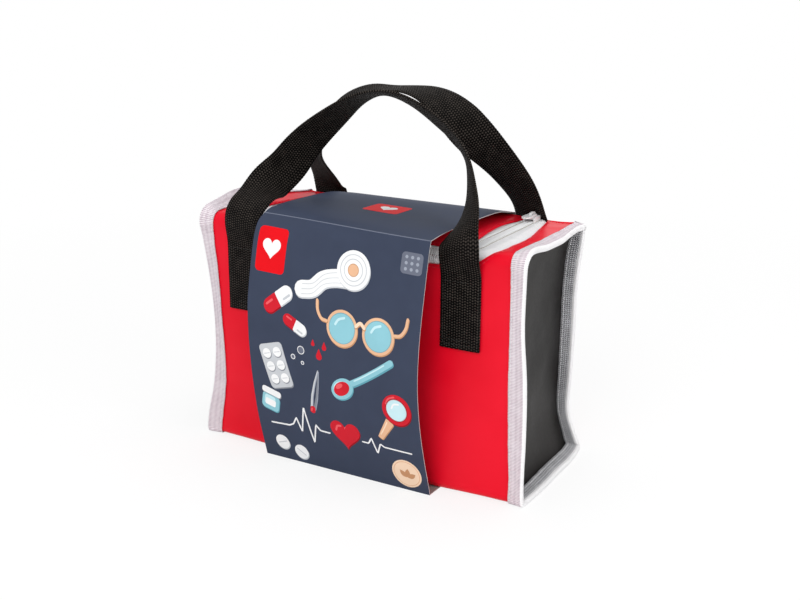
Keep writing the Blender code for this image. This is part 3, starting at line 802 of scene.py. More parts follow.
def build_ends():
    count = BINDING_POINTS
    s = np.linspace(0, ROUND, count, endpoint=False)
    edge_wave = 0.25 * ripple_many(s, 0 * s, 6.0, 5.0) + 0.12 * np.sin(s * 2 * math.pi / 2.1)
    for side, name in ((-1, "left"), (1, "right")):
        wave = 0.5 * ripple_many(s, 0 * s + 50 * side, 22.0, 9.0)
        # binding: along the outside, over the edge and back along the inside
        shares = np.linspace(0, 1, BINDING_COLUMNS)
        reach = EDGE_X - 1.4 - SEAM_X
        path = [(SEAM_X + 0.2 + reach * t, OUTER_HEIGHT + RIB_SWELL * math.cos(2 * math.pi * t))
                for t in shares]
        for angle in np.radians(np.linspace(FOLD_ANGLE, -FOLD_ANGLE, FOLD_COLUMNS)):
            path.append((EDGE_X - 1.5 + FOLD_RADIUS * math.cos(angle) * FOLD_REACH,
                         FOLD_MIDDLE + FOLD_RADIUS * math.sin(angle)))
        path += [(SEAM_X + 1.2 + (reach - 1.0) * t,
                  INNER_HEIGHT - 0.25 * (1 - t) + RIB_SWELL * math.cos(2 * math.pi * t))
                 for t in shares[::-1]]
        path = np.array(path)
        ahead = headings(path)
        turned = np.stack([-ahead[:, 1], ahead[:, 0]], -1)
        closed = np.vstack([path + turned * BINDING_HALF_THICK,
                            (path - turned * BINDING_HALF_THICK)[::-1]])
        tape_along = run_lengths(path)
        across = np.r_[tape_along, tape_along[::-1]]
        loops, weave = [], []
        for (x, height), place in zip(closed, across):
            near_rim = 1.0 if place < 1.0 or place > tape_along[-1] - 1.0 else 0.0
            reach = x - near_rim * edge_wave
            loops.append(on_case(side * reach, s, height + 0.25 * wave))
            weave.append(np.stack([s, np.full(count, place)], -1))
        binding = sweep(name + "_tape", np.stack(loops, 1), [BINDING, BINDING_INNER, BINDING_FOLD_HIGHLIGHT],
                        "case", ring=True, weave=np.stack(weave, 1))
        outward(binding)
        half = tape_along[-1] * 0.52
        columns = len(closed)
        # The polygons over the fold take the lighter copy of the tape: a painted highlight.
        for polygon in binding.data.polygons:
            column = polygon.vertices[0] % columns
            from_fold = across[column] - half
            polygon.material_index = 2 if abs(from_fold) < FOLD_HALF else int(from_fold > 0)
        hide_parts(name + "_binding")
        for label, x, height in (("outer", SEAM_X + 1.6, 0.98), ("inner", SEAM_X + 2.9, -3.78)):
            points = on_case(side * x, s, height + 0.25 * wave)
            raised = on_case(side * x, s, height + 0.25 * wave + (1 if height > 0 else -1))
            points, raised = (np.vstack([line, line[:1]]) for line in (points, raised))
            thread_object(f"{name}_{label}_stitches", points, raised - points, THREAD_WHITE, "case",
                          "white_grosgrain", length=2.4, gap=0.8, radius=0.17)
        build_end_panel(side, name)


def build_end_panel(side, name):
    """The set-back panel: a sheet that hangs between its four seams, sagging a little inward."""
    corners = ((STARTS[1] + STARTS[2]) / 2, (STARTS[3] + STARTS[4]) / 2,
               (STARTS[5] + STARTS[6]) / 2, (STARTS[7] + STARTS[8]) / 2)
    counts = (40, 60, 40, 60)
    starts = (corners[3] - ROUND, corners[0], corners[1], corners[2])
    runs = [np.linspace(low, high, count + 1) for low, high, count in zip(starts, corners, counts)]
    around = np.concatenate([run[:-1] for run in runs])
    top, front, floor, rear = (on_case(side * (SEAM_X + 1.0), run, PANEL_HEIGHT) for run in runs)
    floor, rear = floor[::-1], rear[::-1]
    u = np.linspace(0, 1, counts[0] + 1)[:, None, None]
    v = np.linspace(0, 1, counts[1] + 1)[None, :, None]
    sheet = ((1 - v) * top[:, None] + v * floor[:, None] + (1 - u) * rear[None] + u * front[None]
             - (1 - u) * (1 - v) * top[0] - u * (1 - v) * top[-1]
             - (1 - u) * v * floor[0] - u * v * floor[-1])
    sag = (np.sin(math.pi * u) * np.sin(math.pi * v))[..., 0]
    waves = ripple_many(sheet[..., 1], sheet[..., 2], 42.0, 12.0 + side)
    waves += 0.4 * ripple_many(sheet[..., 1], sheet[..., 2], 17.0, 30.0 + side)
    sheet[..., 0] -= side * (0.4 + PANEL_SAG * sag**0.7 + 1.3 * waves * sag**0.5)
    rows, columns = sheet.shape[:2]
    faces = grid_faces(rows, columns)
    verts = sheet.reshape(-1, 3)
    loop = ([i * columns for i in range(rows)] + [(rows - 1) * columns + j for j in range(1, columns)]
            + [i * columns + columns - 1 for i in range(rows - 2, -1, -1)]
            + [j for j in range(columns - 2, 0, -1)])
    before, n = loop, len(loop)
    for x in (SEAM_X + 3.0, SEAM_X + 6.0, EDGE_X - 2.6):
        after = list(range(len(verts), len(verts) + n))
        verts = np.vstack([verts, on_case(side * x, around, FLANGE_HEIGHT)])
        faces += [(before[i], before[(i + 1) % n], after[(i + 1) % n], after[i]) for i in range(n)]
        before = after
    obj = make_object(name + "_panel", verts, faces, [CHARCOAL, CHARCOAL], "case")
    outward_single(obj, side)
    add_modifier(obj, "SOLIDIFY", thickness=0.9 * MM, offset=-1, use_even_offset=False)
    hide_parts(name + "_end_panel")


def outward_single(obj, side):
    """Make an open panel's faces look away from the case along X."""
    total = sum(p.normal.x * p.area for p in obj.data.polygons)
    if total * side < 0:
        obj.data.flip_normals()


# Handles
STRAP_WIDTH, STRAP_THICK = 30.0, 1.7
# Middle line of each handle from its left leg to its right one: x, y, z and quarter turns of twist
FRONT_ROUTE = (
    (-92.5, -58.1, 158.2, 0.00), (-92.0, -62.4, 168.2, 0.00), (-89.8, -65.0, 179.0, -0.03),
    (-87.8, -57.4, 188.8, 0.03), (-86.8, -33.2, 199.3, 0.24), (-79.2, -20.5, 210.3, 0.43),
    (-70.7, -15.3, 223.6, 0.56), (-59.1, -13.8, 235.4, 0.64), (-44.0, -13.5, 247.8, 0.75),
    (-28.8, -14.7, 259.1, 0.87), (-14.8, -15.9, 266.0, 0.91), (-3.3, -16.6, 268.5, 0.89),
    (8.6, -16.9, 268.1, 0.79), (24.1, -16.8, 263.9, 0.69), (41.6, -16.5, 254.2, 0.62),
    (58.5, -17.7, 242.7, 0.61), (69.9, -20.7, 230.0, 0.62), (76.4, -27.2, 213.9, 0.55),
    (82.1, -40.3, 199.1, 0.39), (86.0, -59.2, 186.6, 0.14), (87.8, -65.4, 178.0, 0.03),
    (86.6, -62.4, 168.2, 0.00), (86.5, -58.1, 158.2, 0.00),
)
REAR_ROUTE = (
    (-92.5, 58.1, 158.2, 0.00), (-92.5, 59.7, 168.2, 0.00), (-95.0, 60.9, 178.6, 0.04),
    (-93.5, 52.6, 187.6, 0.06), (-89.5, 37.1, 203.2, 0.16), (-84.9, 28.7, 215.5, 0.38),
    (-77.0, 22.5, 227.5, 0.53), (-67.9, 17.6, 239.4, 0.57), (-53.2, 15.8, 253.2, 0.63),
    (-34.9, 15.3, 263.0, 0.77), (-17.0, 15.4, 266.7, 0.95), (0.6, 15.6, 268.6, 0.99),
    (17.2, 15.2, 267.3, 0.91), (31.8, 14.3, 261.4, 0.75), (44.1, 14.0, 251.5, 0.51),
    (54.8, 16.6, 240.2, 0.22), (64.3, 23.3, 228.3, 0.00), (72.1, 32.3, 215.8, -0.10),
    (78.0, 41.8, 202.9, -0.14), (82.0, 50.1, 190.1, -0.20), (84.1, 56.0, 178.0, -0.22),
    (85.2, 59.1, 167.4, -0.11), (86.5, 58.1, 158.2, 0.00),
)
STRAP_X, STRAP_SHIFT, PATCH_TOP, PATCH_LOW = 89.5, 3.0, TOP - 18.0, TOP - 69.0
ROUTE_STEP, ROUTE_SMOOTHING, STRAP_COLUMNS = 0.9, 60, 13
PATCH_STITCH_HEIGHT, PATCH_STITCH_PITCH = 2.15, 3.0
PATCH_STITCH_LENGTH, PATCH_STITCH_RADIUS = 2.3, 0.22


def catmull(points, steps=24):
    padded = np.vstack([2 * points[0] - points[1], points, 2 * points[-1] - points[-2]])
    t = (np.arange(steps) / steps)[:, None]
    pieces = []
    for before, start, end, after in zip(padded, padded[1:], padded[2:], padded[3:]):
        pieces.append((2 * start + (end - before) * t
                       + (2 * before - 5 * start + 4 * end - after) * t**2
                       + (3 * start - before - 3 * end + after) * t**3) / 2)
    return np.vstack(pieces + [points[-1:]])


def build_handle(name, side_y, middle_line, node):
    loop = catmull(np.array(middle_line))
    # sewn ends follow the soft face of the case
    patches = []
    for side_x in (-1, 1):
        z = np.linspace(PATCH_LOW, PATCH_TOP - 3, 26)
        x = np.full_like(z, side_x * STRAP_X - STRAP_SHIFT)
        s = on_front(z) if side_y < 0 else on_rear(z)
        face = on_case(x, s, 1.15)
        patches.append(np.column_stack([face[:, 0], face[:, 1], face[:, 2], 0 * z]))
    route = np.vstack([patches[0], loop, patches[1][::-1]])
    lengths = run_lengths(route[:, :3])
    wanted = np.linspace(0, lengths[-1], round(lengths[-1] / ROUTE_STEP))
    route = read_off(route, lengths, wanted)
    for _ in range(ROUTE_SMOOTHING):
        route[1:-1] = (route[:-2] + 2 * route[1:-1] + route[2:]) / 4
    ahead = headings(route[:, :3])
    out = np.array([0.0, side_y, 0.0]) - ahead * (ahead @ np.array([0.0, side_y, 0.0]))[:, None]
    out /= np.linalg.norm(out, axis=1)[:, None]
    inward = np.cross(ahead, out) * -side_y
    turn = route[:, 3] * math.pi / 2
    normal = out * np.cos(turn)[:, None] + inward * np.sin(turn)[:, None]
    across = np.cross(ahead, normal)
    columns = STRAP_COLUMNS
    places = np.linspace(-1, 1, columns)
    crown = 0.10 * (1 - places**2)
    edge_wave = 0.16 * np.sin(wanted * 2 * math.pi / 2.0)
    loops, weave = [], []
    for place, rise in list(zip(places, crown)) + list(zip(places[::-1], crown[::-1])):
        face = 1 if len(loops) < columns else -1
        reach = place * (STRAP_WIDTH / 2 + (edge_wave if abs(place) == 1 else 0))
        thick = STRAP_THICK / 2 * (0.62 if abs(place) == 1 else 1.0) + rise
        loops.append(route[:, :3] + across * np.reshape(reach * np.ones(len(route)), (-1, 1))
                     + normal * thick * face)
        weave.append(np.stack([wanted, np.full(len(route), place * STRAP_WIDTH / 2)], -1))
    obj = outward(sweep(name, np.stack(loops, 1), WEBBING, weave=np.stack(weave, 1)))
    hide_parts(node, node + "_left_end", node + "_right_end")
    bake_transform(obj)
    build_patch_stitches(name, side_y)


def build_patch_stitches(name, side_y):
    """Two rows across the lower hem and a box round each sewn end."""
    for side_x, label in ((-1, "left"), (1, "right")):
        middle = side_x * STRAP_X - STRAP_SHIFT
        low, high, half = PATCH_LOW + 3, PATCH_TOP - 4, STRAP_WIDTH / 2 - 2.5
        hem = low + 3.5
        runs = [((-half, low), (half, low)), ((-half, hem), (half, hem)), ((-half, high), (half, high)),
                ((-half, low), (-half, high)), ((half, low), (half, high))]
        verts, faces = [], []
        for (x0, z0), (x1, z1) in runs:
            count = max(2, round(math.dist((x0, z0), (x1, z1)) / 2))
            x = middle + np.linspace(x0, x1, count)
            z = np.linspace(z0, z1, count)
            s = on_front(z) if side_y < 0 else on_rear(z)
            points = on_case(x, s, PATCH_STITCH_HEIGHT)
            raised = on_case(x, s, PATCH_STITCH_HEIGHT + 1)
            lengths = run_lengths(points)
            centres, directions, ups = [], [], []
            for place in np.arange(PATCH_STITCH_PITCH / 2, lengths[-1] - 1, PATCH_STITCH_PITCH):
                k = max(min(np.searchsorted(lengths, place), count - 1), 1)
                direction = points[k] - points[k - 1]
                direction /= np.linalg.norm(direction)
                share = (place - lengths[k - 1]) / (lengths[k] - lengths[k - 1])
                centres.append(points[k - 1] + (points[k] - points[k - 1]) * share)
                directions.append(direction)
                ups.append(raised[k] - points[k])
            more_verts, more_faces = capsule_rows(centres, directions, ups, PATCH_STITCH_LENGTH,
                                                  PATCH_STITCH_RADIUS)
            faces += [tuple(i + len(verts) for i in face) for face in more_faces]
            verts += more_verts
        obj = outward(make_object(f"{name}_{label}_stitches", verts, faces, THREAD_BLACK, "case"))


# Card band
BAND_LEFT, BAND_RIGHT = -70.0, 71.2
BAND_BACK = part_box("card_band")[1].y / MM
CARD_THICK = 0.5
FRONT_ROWS, TOP_ROWS = 72, 40

# The card's outer face at its left and right edges, as (y, z): front, top and rear
FRONT_LEFT = ((-69.5, 0), (-79.8, 39), (-86.2, 82), (-87.4, 117), (-84.8, 137), (-79.0, 163),
              (-75.2, 174), (-70.5, 180.6), (-63.0, 184.6))
FRONT_RIGHT = ((-71.7, 0), (-84.8, 45), (-90.4, 82), (-88.2, 116), (-81.0, 151), (-76.2, 172),
               (-74.0, 180.0), (-73.0, 183.2))
TOP_LEFT = ((-63.0, 184.6), (-54.6, 186.9), (-35, 187.3), (-15, 186.6), (3, 185.8), (22, 184.4), (34, 182.4))
TOP_RIGHT = ((-73.0, 183.2), (-58, 184.4), (-40, 184.8), (-15, 184.4), (8, 184.0), (24, 183.3), (33, 182.4))


def edge_line(points, rows, step):
    """Even points along a curve, with one more close to each end for a crisp crease."""
    fine = catmull(np.array(points, float), 20)
    lengths = run_lengths(fine)
    wanted = np.r_[0, np.linspace(step, lengths[-1] - step, rows - 1), lengths[-1]]
    return read_off(fine, lengths, wanted)


CREASE_HALF = 0.45
BAND_EDGES = [np.vstack([edge_line(front, FRONT_ROWS, CREASE_HALF),
                         edge_line(top, TOP_ROWS, CREASE_HALF)[1:]])
              for front, top in ((FRONT_LEFT, TOP_LEFT), (FRONT_RIGHT, TOP_RIGHT))]
BAND_ROWS = np.arange(len(BAND_EDGES[0]))
BAND_LENGTH = 189.0
TOP_LENGTH = 104.0


def card_share(x):
    """How much of the right edge's shape the card has at x."""
    past = 0.12
    return smoothstep(-past, 1 + past, (x - BAND_LEFT) / (BAND_RIGHT - BAND_LEFT))


def card_profile(x):
    """Front and top of the card at one place between its two edges."""
    share = card_share(x)
    return BAND_EDGES[0] * (1 - share) + BAND_EDGES[1] * share


def on_card(x, up, height=0.0):
    """The point of the card at x, the given length up from its front foot and over its top."""
    x, up, height = np.broadcast_arrays(*(np.asarray(a, float) for a in (x, up, height)))
    over = np.clip((up - BAND_LENGTH) / TOP_LENGTH, 0, 1) * (TOP_ROWS - 2)
    row = np.where(up < BAND_LENGTH, up / BAND_LENGTH * FRONT_ROWS, FRONT_ROWS + 1 + over)
    share = card_share(x)
    left, right = ([np.interp(row, BAND_ROWS, edge[:, k]) for k in (0, 1)] for edge in BAND_EDGES)
    step = 0.6
    ahead = [[np.interp(row + d, BAND_ROWS, edge[:, k]) for k in (0, 1)]
             for edge in BAND_EDGES for d in (-step, step)]
    y, z = (left[k] * (1 - share) + right[k] * share for k in (0, 1))
    dy, dz = ((ahead[1][k] - ahead[0][k]) * (1 - share) + (ahead[3][k] - ahead[2][k]) * share
              for k in (0, 1))
    size = np.hypot(dy, dz)
    return np.stack([x, y - dz / size * height, z + dy / size * height], -1)


def band_profile(x):
    """Closed outer outline of the band at one x."""
    front_top = card_profile(x)
    crease, foot = front_top[-1], front_top[0]
    rear_top = TOP + 1.1
    slope = np.linspace(0, 1, 9)[1:, None]
    rear = np.linspace(0, 1, 31)[1:, None]
    floor = np.linspace(0, 1, 21)[1:-1, None]
    corner = np.array([BAND_BACK, rear_top])
    heel = np.array([BAND_BACK, 0.0])
    return np.vstack([front_top, crease + (corner - crease) * slope, corner + (heel - corner) * rear,
                      heel + (foot - heel) * floor])


def build_band():
    xs = np.linspace(BAND_LEFT, BAND_RIGHT, 40)
    outer, inner = [], []
    for x in xs:
        outline = band_profile(x)
        ahead = np.roll(outline, -1, 0) - np.roll(outline, 1, 0)
        ahead /= np.linalg.norm(ahead, axis=1)[:, None]
        inward = outline + np.stack([ahead[:, 1], -ahead[:, 0]], -1) * CARD_THICK
        inward[:, 1] = np.maximum(inward[:, 1], CARD_THICK)
        for rows, points in ((outer, outline), (inner, inward)):
            rows.append(np.column_stack([np.full(len(points), x), points]))
    rows = np.stack(outer + inner[::-1], 0)
    count, columns = rows.shape[:2]
    band = make_object("card_sleeve", rows.reshape(-1, 3), grid_faces(count, columns, True, True),
                       [CARD, CARD_INSIDE, CARD_EDGE, CARD_CREASE_HIGHLIGHT], "case")
    outward(band)
    half = len(xs)
    for polygon in band.data.polygons:
        members = {v // columns for v in polygon.vertices}
        places = [v % columns for v in polygon.vertices]
        if members in ({half - 1, half}, {0, count - 1}):
            polygon.material_index = 2
        elif min(members) >= half:
            polygon.material_index = 1
        # The rows along the fold take the lighter crease colour: a painted highlight.
        elif min(places) >= FRONT_ROWS - 1 and max(places) <= FRONT_ROWS + 1:
            polygon.material_index = 3
    band.data.set_sharp_from_angle(angle=math.radians(25))
    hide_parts("card_band")


# Print on the card
def turned(points, angle, at):
    """Points turned by degrees and moved to a place on the card."""
    c, s = math.cos(math.radians(angle)), math.sin(math.radians(angle))
    points = np.asarray(points, float)
    return points @ np.array([[c, s], [-s, c]]) + np.asarray(at, float)


def disc(radius_x, radius_y=None, start=0, end=360, count=40):
    angles = np.radians(np.linspace(start, end, count, endpoint=end - start < 360))
    return np.stack([radius_x * np.cos(angles), (radius_y or radius_x) * np.sin(angles)], -1)


def rounded(width, height, radius):
    """A rectangle with rounded corners round the origin."""
    corner = disc(radius, count=24).reshape(4, 6, 2)
    return np.vstack([corner[k] + (sx * (width / 2 - radius), sy * (height / 2 - radius))
                      for k, (sx, sy) in enumerate(((1, 1), (-1, 1), (-1, -1), (1, -1)))])


def band_of(line, width):
    """An open line thickened to a strip with round ends."""
    line = np.asarray(line, float)
    ahead = headings(line)
    side = np.stack([-ahead[:, 1], ahead[:, 0]], -1)
    ends = []
    for point, direction in ((line[-1], ahead[-1]), (line[0], -ahead[0])):
        base = math.atan2(direction[1], direction[0])
        angles = np.linspace(base + math.pi / 2, base - math.pi / 2, 7)[1:-1]
        ends.append(point + np.stack([np.cos(angles), np.sin(angles)], -1) * width / 2)
    return np.vstack([line + side * width / 2, ends[0], (line - side * width / 2)[::-1], ends[1]])


def curve(points, steps=10):
    return catmull(np.array(points, float), steps)


def heart(size):
    t = np.linspace(0, 2 * math.pi, 44, endpoint=False)
    x = 16 * np.sin(t) ** 3
    y = 13 * np.cos(t) - 5 * np.cos(2 * t) - 2 * np.cos(3 * t) - np.cos(4 * t)
    return np.stack([x, y + 2.5], -1) * size / 32


PLATE_LOW, PLATE_FIRST, PLATE_STEP = -0.15, 0.06, 0.030
PLATE_GRID, PLATE_MARGIN = 1.8, 0.9


def add_plate(mesh, outline, ink, level):
    """One flat printed shape draped on the card as a thin closed plate."""
    closed = np.vstack([outline, outline[:1]])
    around = np.linalg.norm(np.diff(closed, axis=0), axis=1).sum()
    edge = evenly(closed, min(1.2, around / 28))[0][:-1] if len(outline) < 90 else np.asarray(outline, float)
    low, high = edge.min(0), edge.max(0)
    inner = []
    polygon = [Vector(point) for point in edge]
    for x in np.arange(low[0] + 1.4, high[0] - 0.8, PLATE_GRID):
        for y in np.arange(low[1] + 1.4, high[1] - 0.8, PLATE_GRID):
            if np.min(np.hypot(edge[:, 0] - x, edge[:, 1] - y)) > PLATE_MARGIN:
                inner.append(Vector((x, y)))
    made = delaunay_2d_cdt(polygon + inner, [], [list(range(len(polygon)))], 1, 1e-4)
    flat = np.array([tuple(v) for v in made[0]])
    faces = [tuple(face) for face in made[2]]
    if not faces:
        return
    start, n = len(mesh["verts"]), len(flat)
    for height in (PLATE_FIRST + PLATE_STEP * level, PLATE_LOW):
        mesh["verts"] += list(on_card(flat[:, 0], flat[:, 1], height))
    border = {}
    for face in faces:
        for a, b in zip(face, face[1:] + face[:1]):
            if (b, a) in border:
                del border[b, a]
            else:
                border[a, b] = True
    made_faces = [tuple(start + i for i in face) for face in faces]
    made_faces += [tuple(start + n + i for i in face[::-1]) for face in faces]
    made_faces += [(start + b, start + a, start + n + a, start + n + b) for a, b in border]
    mesh["faces"] += made_faces
    mesh["inks"] += [ink] * len(made_faces)


INKS = {
    "red": (0.615, 0.016, 0.030), "red_dark": (0.300, 0.006, 0.013), "red_light": (0.800, 0.110, 0.125),
    "wood": (0.783, 0.470, 0.290), "wood_dark": (0.560, 0.290, 0.150), "wood_light": (0.905, 0.680, 0.500),
    "teal": (0.270, 0.560, 0.640), "teal_light": (0.560, 0.790, 0.840), "teal_dark": (0.120, 0.350, 0.430),
    "white": (0.880, 0.885, 0.890), "grey": (0.560, 0.580, 0.610), "grey_dark": (0.230, 0.245, 0.280),
    "tile": (0.150, 0.165, 0.215), "line": (0.330, 0.360, 0.430), "tile_red": (0.760, 0.006, 0.012),
}


def print_shapes():
    """Every printed shape, lowest first, as (outline in card millimetres, ink)."""
    shapes = []

    def put(outline, ink, at=(0, 0), angle=0):
        shapes.append((turned(outline, angle, at), ink))

    def stroke(points, width, ink, at=(0, 0), angle=0):
        put(band_of(points, width), ink, at, angle)

    def gleam(points, width, ink, at):
        stroke(curve(points), width, ink, at)

    def raised(outline, ink, shade, at=(0, 0), angle=0, drop=(0.5, -0.9)):
        put(outline, shade, np.add(at, drop), angle)
        put(outline, ink, at, angle)

    def rings(at, *sizes):
        for radius, ink in sizes:
            put(disc(radius), ink, at)

    def solid(outline, at, angle, ink, light, shade):
        """A shape with a darker rim below it and a lighter patch towards its upper left."""
        raised(outline, ink, shade, at, angle)
        size = np.abs(outline).max()
        put(outline * 0.62 + (-0.10 * size, 0.12 * size), light, at, angle)

    def capsule(at, angle, length, width):
        half = np.vstack([disc(width / 2, start=90, end=270, count=18) - (length / 2 - width / 2, 0),
                          [(0, -width / 2), (0, width / 2)]])
        raised(half, "red", "red_dark", at, angle)
        raised(-half, "white", "grey", at, angle)
        shine = rounded(length / 2 - width * 0.62, width * 0.16, width * 0.079)
        put(shine + (-length / 4 - 0.5, width * 0.20), "red_light", at, angle)
        put(shine + (length / 4 + 0.5, -width * 0.24), "grey", at, angle)

    # tile with a heart in the upper left corner, tile with dots in the upper right one
    put(rounded(25, 31, 3.4), "tile_red", (-53.5, 160.0))
    put(heart(15.5), "white", (-53.5, 160.3))
    put(rounded(16.5, 14.5, 2.8), "tile", (59.5, 170.0))
    for column in (-1, 0, 1):
        for row in (-1, 0, 1):
            put(disc(1.15, count=14), "line", (59.5 + 4.4 * column, 170.0 + 4.0 * row))
    # roll of bandage with its loose end
    tail = curve([(14, 151.5), (2, 150.6), (-8, 147.5), (-16, 140.5), (-25, 138.5)])
    raised(band_of(tail, 11.5), "white", "grey", drop=(0.5, -1.0))
    for step in range(3):
        stroke(tail + (0.4, -3.4 + 3.4 * step), 0.35, "grey")
    roll = (15.5, 158.0)
    solid(disc(13.2), roll, 0, "white", "white", "grey")
    rings(roll, (10.6, "grey"), (10.0, "white"), (7.6, "grey"), (7.0, "white"), (4.4, "wood_dark"),
          (3.9, "wood"))
    capsule((-44, 128), 38, 27, 10.5)
    capsule((-29, 113), -24, 21, 8.2)
    # round spectacles
    for x in (10.5, 39.5):
        raised(disc(12.6), "wood", "wood_dark", (x, 118.0), drop=(0.5, -0.8))
        rings((x, 118.0), (10.6, "teal_dark"), (10.2, "teal"))
        gleam([(-5.5, 2.0), (-3.0, 5.6), (1.5, 7.4)], 1.7, "teal_light", (x, 118.0))
    bridge = curve([(21.6, 121.5), (25.0, 124.3), (28.4, 121.5)])
    stroke(bridge + (0.3, -0.7), 2.4, "wood_dark")
    stroke(bridge, 2.2, "wood_light")
    for x, side in ((-2.2, -1), (52.2, 1)):
        arm = curve([(x, 121.0), (x + 4.5 * side, 122.0), (x + 8.0 * side, 127.0), (x + 9.0 * side, 133.5)])
        stroke(arm + (0.4, -0.6), 2.3, "wood_dark")
        stroke(arm, 2.0, "wood")
    # medicine spoon with its drops
    spoon = curve([(50, 102), (39, 94), (27, 86), (17, 80)])
    stroke(spoon + (0.5, -1.0), 4.6, "teal_dark")
    stroke(spoon, 4.4, "teal")
    stroke(spoon[4:-4] + (-0.5, 0.8), 0.9, "teal_light")
    solid(disc(10.2, 7.2), (10.0, 75.0), 35, "teal", "teal_light", "teal_dark")
    put(disc(7.4, 4.8), "red", (9.6, 75.0), 35)
    put(disc(3.4, 1.6), "red_light", (7.6, 76.6), 35)
    for x, y, size in ((-8.5, 94.5, 2.5), (-4.0, 101.5, 1.9), (-13.5, 102.5, 1.5)):
        put(np.vstack([disc(size, start=-220, end=40, count=20), [(0, size * 2.3)]]), "red", (x, y))
    # pack of tablets
    pack, pack_angle = (-47, 80), 16
    solid(rounded(21, 33, 3.2), pack, pack_angle, "grey", "grey", "grey_dark")
    for column in (-1, 1):
        for row in (-1, 0, 1):
            at = turned([(4.7 * column, 9.6 * row)], pack_angle, pack)[0]
            put(disc(3.8, count=26), "grey_dark", at + (0.35, -0.5))
            put(disc(3.6, count=26), "white", at)
            stroke([(-2.4, 0), (0, 0), (2.4, 0)], 0.5, "grey", at, pack_angle)
    # hand mirror on a wooden grip
    mirror, mirror_angle = (54, 69), -32
    grip = np.array([(-2.0, -22), (2.0, -22), (3.4, -4), (-3.4, -4)])
    grip_at = turned([(0, -8.0)], mirror_angle, mirror)[0]
    raised(grip, "wood", "wood_dark", grip_at, mirror_angle, (0.5, -0.7))
    stroke([(-0.9, -19), (-1.1, -12), (-1.5, -6)], 0.9, "wood_light", grip_at, mirror_angle)
    solid(disc(11.5), mirror, mirror_angle, "red", "red", "red_dark")
    gleam([(-8.2, 3.4), (-6.0, 7.4), (-1.5, 9.6)], 1.3, "red_light", mirror)
    rings(mirror, (8.6, "red_dark"), (8.1, "grey"), (7.6, "teal_light"))
    gleam([(-3.8, 1.0), (-1.8, 4.2), (2.0, 5.0)], 1.3, "white", mirror)
    # small jar with a lid
    jar, jar_angle = (-56, 50), -14
    solid(rounded(15, 13, 3.0), jar, jar_angle, "teal", "teal_light", "teal_dark")
    lid_at = turned([(0, 8.6)], jar_angle, jar)[0]
    raised(rounded(16.5, 5.0, 1.8), "white", "grey_dark", lid_at, jar_angle, (0.4, -0.6))
    put(rounded(9, 5.4, 1.2), "white", turned([(0, -0.6)], jar_angle, jar)[0], jar_angle)
    # tweezers
    tweezers, tweezers_angle = (-14.0, 68.0), 76
    arm = np.array([(-21, 0.8), (-19, 2.6), (-6, 3.4), (8, 2.4), (21, 0.5), (21, -0.2), (7, 0.9),
                    (-6, 1.4), (-17, 0.6)])
    for sign, ink in ((-1, "grey_dark"), (1, "grey")):
        half = (arm * (1, sign))[::sign] * 0.8
        raised(half, ink, "line", tweezers, tweezers_angle, (0.4, -0.8))
    tail_at = turned([(-16.0, 0)], tweezers_angle, tweezers)[0]
    put(rounded(5.6, 4.4, 1.9), "red", tail_at, tweezers_angle)
    put(rounded(3.0, 1.1, 0.5), "red_light", tail_at + (-0.9, 0), tweezers_angle)
    # outlined bubbles
    for x, y, size in ((-24, 96, 3.0), (-31, 90, 1.9), (-23, 87, 1.4)):
        rings((x, y), (size, "white"), (size - 0.5, "tile"))
    # heartbeat line round a heart
    pulse = [(-58, 33), (-42, 34), (-38, 36), (-34.5, 42), (-31, 31), (-26.5, 52), (-21.5, 24),
             (-17.5, 40), (-14, 36), (-6, 36)]
    after = [(22, 36), (27, 36), (30, 41), (33.5, 29), (37, 38), (40, 36), (62, 36)]
    for line in (pulse, after):
        stroke(evenly(np.array(line, float), 1.2)[0], 1.1, "white")
    solid(heart(25), (8, 37), 0, "red", "red_light", "red_dark")
    put(heart(25) * 0.86, "red", (8, 37.4))
    gleam([(-7.6, 3.2), (-6.2, 6.6), (-3.2, 7.4)], 1.6, "red_light", (8, 37.4))
    # two tablets and a leaf disc at the foot
    for x, y, angle in ((-52, 17, 20), (-36, 12, -35)):
        solid(disc(6.0), (x, y), angle, "white", "white", "grey")
        stroke([(-4.2, 0), (0, 0), (4.2, 0)], 0.7, "grey", (x, y), angle)
    rings((55, 17), (11.8, "wood_light"), (10.6, "wood"), (10.0, "wood_light"))
    leaf = np.vstack([curve([(0, 0.4), (-2.0, 3.2), (-1.5, 6.0), (0, 8.2)]),
                      curve([(0, 8.2), (1.5, 6.0), (2.0, 3.2), (0, 0.4)])[1:-1]])
    for angle in (-50, 0, 50):
        put(leaf, "wood_dark", (55.2, 13.4), angle - 8)
    # small tile on the top face
    top_tile = (2, BAND_LENGTH + 57)
    put(rounded(30, 26, 3.2), "tile_red", top_tile)
    put(heart(14), "white", top_tile)
    return shapes


def build_print():
    mesh = {"verts": [], "faces": [], "inks": []}
    names = list(INKS)
    placed = []
    for outline, ink in print_shapes():
        low, high = np.min(outline, 0), np.max(outline, 0)
        under = [level for below, above, level in placed if (below < high).all() and (above > low).all()]
        level = 1 + max(under, default=0)
        placed.append((low, high, level))
        add_plate(mesh, outline, names.index(ink), level)
    materials = [plain("print_" + name, colour, 0.5, grain=1500, depth=0.00001, Specular_IOR_Level=0.06)
                 for name, colour in INKS.items()]
    obj = make_object("card_print", mesh["verts"], mesh["faces"], materials, "case", smooth=False)
    obj.data.polygons.foreach_set("material_index", mesh["inks"])


# Slider and pull
def build_slider():
    for node in ("zipper_slider", "pull_tab"):
        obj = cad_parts[node]
        obj.data.materials.clear()
        obj.data.materials.append(ZIP_PLASTIC)
        add_modifier(obj, "BEVEL", width=0.25 * MM, segments=2, limit_method="ANGLE")


# Stage
FLOOR_SHADE = 0.93
FLOOR_WHITE_NEAR, NEAR, FAR = 0.80, 0.35, 0.9   # share of plain white, from near the case to far away
WORLD_STRENGTH = 0.62
